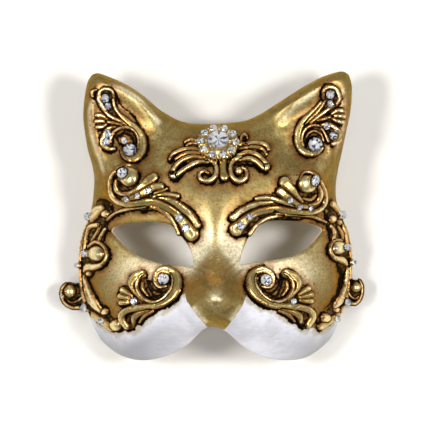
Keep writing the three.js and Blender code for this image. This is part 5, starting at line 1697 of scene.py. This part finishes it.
def add_cast(name, cast):
    on_side = name.endswith("side")
    bodies = [relief(cast, RHINESTONES[name], on_face)]
    if on_side:
        side = name.split("_")[0]
        glued = [(*beside_snail(side, SNAIL_STONE), 1)] if side == "left" else []
        bodies.append(relief(snail_cast(side), glued, level_plane))
    add_relief(name, f"{name}_scroll", bodies)
    for n, (point, normal, radius) in enumerate(bodies[0][3]):
        if on_side:
            point = point + SIDE_STONE_LIFT * (normal + (0, 0, 1))
        tip = SIDE_STONE_TIP if on_side else 0
        node = f"{name}_rhinestone_{n + 1}"
        set_stone(f"{name}_stone_{n + 1}", node, point, normal, radius, tip=tip)
    if name == "left_side":
        point, normal, radius = bodies[1][3][0]
        set_stone("left_snail_stone", None, point, normal, radius)


def brooch_frame():
    """The brooch's middle on the face, and its axes."""
    x, y, step = BROOCH["x"], BROOCH["y"], BROOCH["step"]
    around = np.array([(x, y), (x + step, y), (x - step, y), (x, y + step), (x, y - step)])
    points = on_face(around[:, 0], around[:, 1])
    normal = np.cross(points[1] - points[2], points[3] - points[4])
    return points[0], turn_to(normal)


def around_brooch(ring, count, turn=0.0):
    angles = (np.arange(count) + turn) * math.tau / count
    return [np.array([ring * math.cos(a), ring * math.sin(a)]) for a in angles]


def brooch_bodies(girdle, spots):
    """The plate, the cups of the stones, the claws beside them and the teeth of the rim."""
    lift, ring, small, centre = (BROOCH[key] for key in ("lift", "ring", "small", "centre"))
    count, turn, raised = (BROOCH[key] for key in ("crystals", "turn", "raised"))
    plate = [
        (ring - 1.5, lift), (ring + 0.9, lift + 0.1), (ring + 1.2, lift + 0.6), (ring + 0.6, lift + 1.1),
        (centre + 0.3, lift + 1.4), (centre - 0.5, lift + 2.4), (centre - 1, lift + 0.1),
    ]
    bodies = [lathe(plate, 48), cup(centre, girdle + raised, 0.45)]
    bodies += [cup(small, girdle, 0.3, at) for at in spots]
    for reach, lean, base in ((ring + 1.2, 0.12, girdle), (centre + 0.75, 0.2, girdle + raised)):
        claw = [(radius, base - CLAW_DOWN + high) for radius, high in CLAW]
        for at in around_brooch(reach, count, turn + 0.5):
            bodies.append(lathe(claw, 8, at, -at / ring * lean))
    tooth = [(0.12, lift - 2), (0.5, lift - 1.4), (0.42, lift + 1), (0.3, girdle - 0.2), (0.1, girdle)]
    for at in around_brooch(ring + 1.75, 4 * count, 0.5):
        bodies.append(lathe(tooth, 6, at, -at / ring * 0.22))
    return bodies


def add_brooch():
    middle, axes = brooch_frame()
    normal = axes[:, 2]
    girdle = BROOCH["lift"] + BROOCH["girdle"]
    spots = around_brooch(BROOCH["ring"], BROOCH["crystals"], BROOCH["turn"])
    verts, faces = joined(brooch_bodies(girdle, spots))
    piece = mesh_piece("brooch_setting_gilt", verts @ axes.T + middle, faces, [BROOCH_PAINT])
    hand_over(piece, "brooch_setting")
    for n, at in enumerate(spots):
        point = middle + axes @ np.array([*at, girdle])
        node = f"brooch_crystal_{n + 1}"
        set_stone(f"brooch_stone_{n + 1}", node, point, normal, BROOCH["small"])
    point = middle + normal * (girdle + BROOCH["raised"])
    set_stone("brooch_centre_stone", "brooch_centre_crystal", point, normal, BROOCH["centre"], 14)


# The floor, the lights and the camera


def placed(name, data):
    thing = bpy.data.objects.new(name, data)
    bpy.context.scene.collection.objects.link(thing)
    return thing


def add_floor():
    mesh = bpy.data.meshes.new("floor")
    corners = [(-1, -1), (1, -1), (1, 1), (-1, 1)]
    mesh.from_pydata([(x * FLOOR_HALF, y * FLOOR_HALF, 0) for x, y in corners], [], [(0, 1, 2, 3)])
    mesh.materials.append(floor_paint())
    placed("floor", mesh)


def look_at(towards):
    """The turn that points a light or camera, which looks down its own z, along a direction."""
    pitch = math.acos(-towards[2])
    return pitch, 0, math.atan2(-towards[0], towards[1])


def add_light(name, place, size, power, tint):
    light = bpy.data.lights.new(name, "AREA")
    light.shape = "DISK"
    light.size = size
    light.energy = power
    light.color = tint
    lamp = placed(name, light)
    lamp.location = place
    lamp.rotation_euler = look_at(-np.array(place) / np.linalg.norm(place))


def add_camera():
    lens = bpy.data.cameras.new("camera")
    lens.sensor_fit = "HORIZONTAL"
    width = PHOTO_WIDTH * MM_PER_PIXEL * MM
    lens.lens = lens.sensor_width * (CAMERA_DISTANCE - FRAME_PLANE * MM) / width
    lens.clip_end = 20
    camera = placed("camera", lens)
    x, y = (np.array([*VIEW_CENTRE, 0]) + SHIFT)[:2] * MM
    camera.location = (x, y, CAMERA_DISTANCE)
    bpy.context.scene.camera = camera


def add_world():
    world = bpy.data.worlds.new("studio")
    world.use_nodes = True
    background = world.node_tree.nodes["Background"]
    background.inputs["Color"].default_value = WORLD_TINT
    background.inputs["Strength"].default_value = WORLD_STRENGTH
    bpy.context.scene.world = world
    bpy.context.scene.view_settings.view_transform = "Standard"


every_ridge = [one for cast in [*CASTS.values(), FOREHEAD_PLUME] for one in cast]
hand_over(shell_mesh(every_ridge), SHELL_NODE)
for cast_name, cast_ridges in CASTS.items():
    add_cast(cast_name, cast_ridges)
add_relief("forehead_plume", "forehead_plume", [relief(FOREHEAD_PLUME, [], on_face)])
add_brooch()
add_floor()
for light in LIGHTS:
    add_light(*light)
add_camera()
add_world()
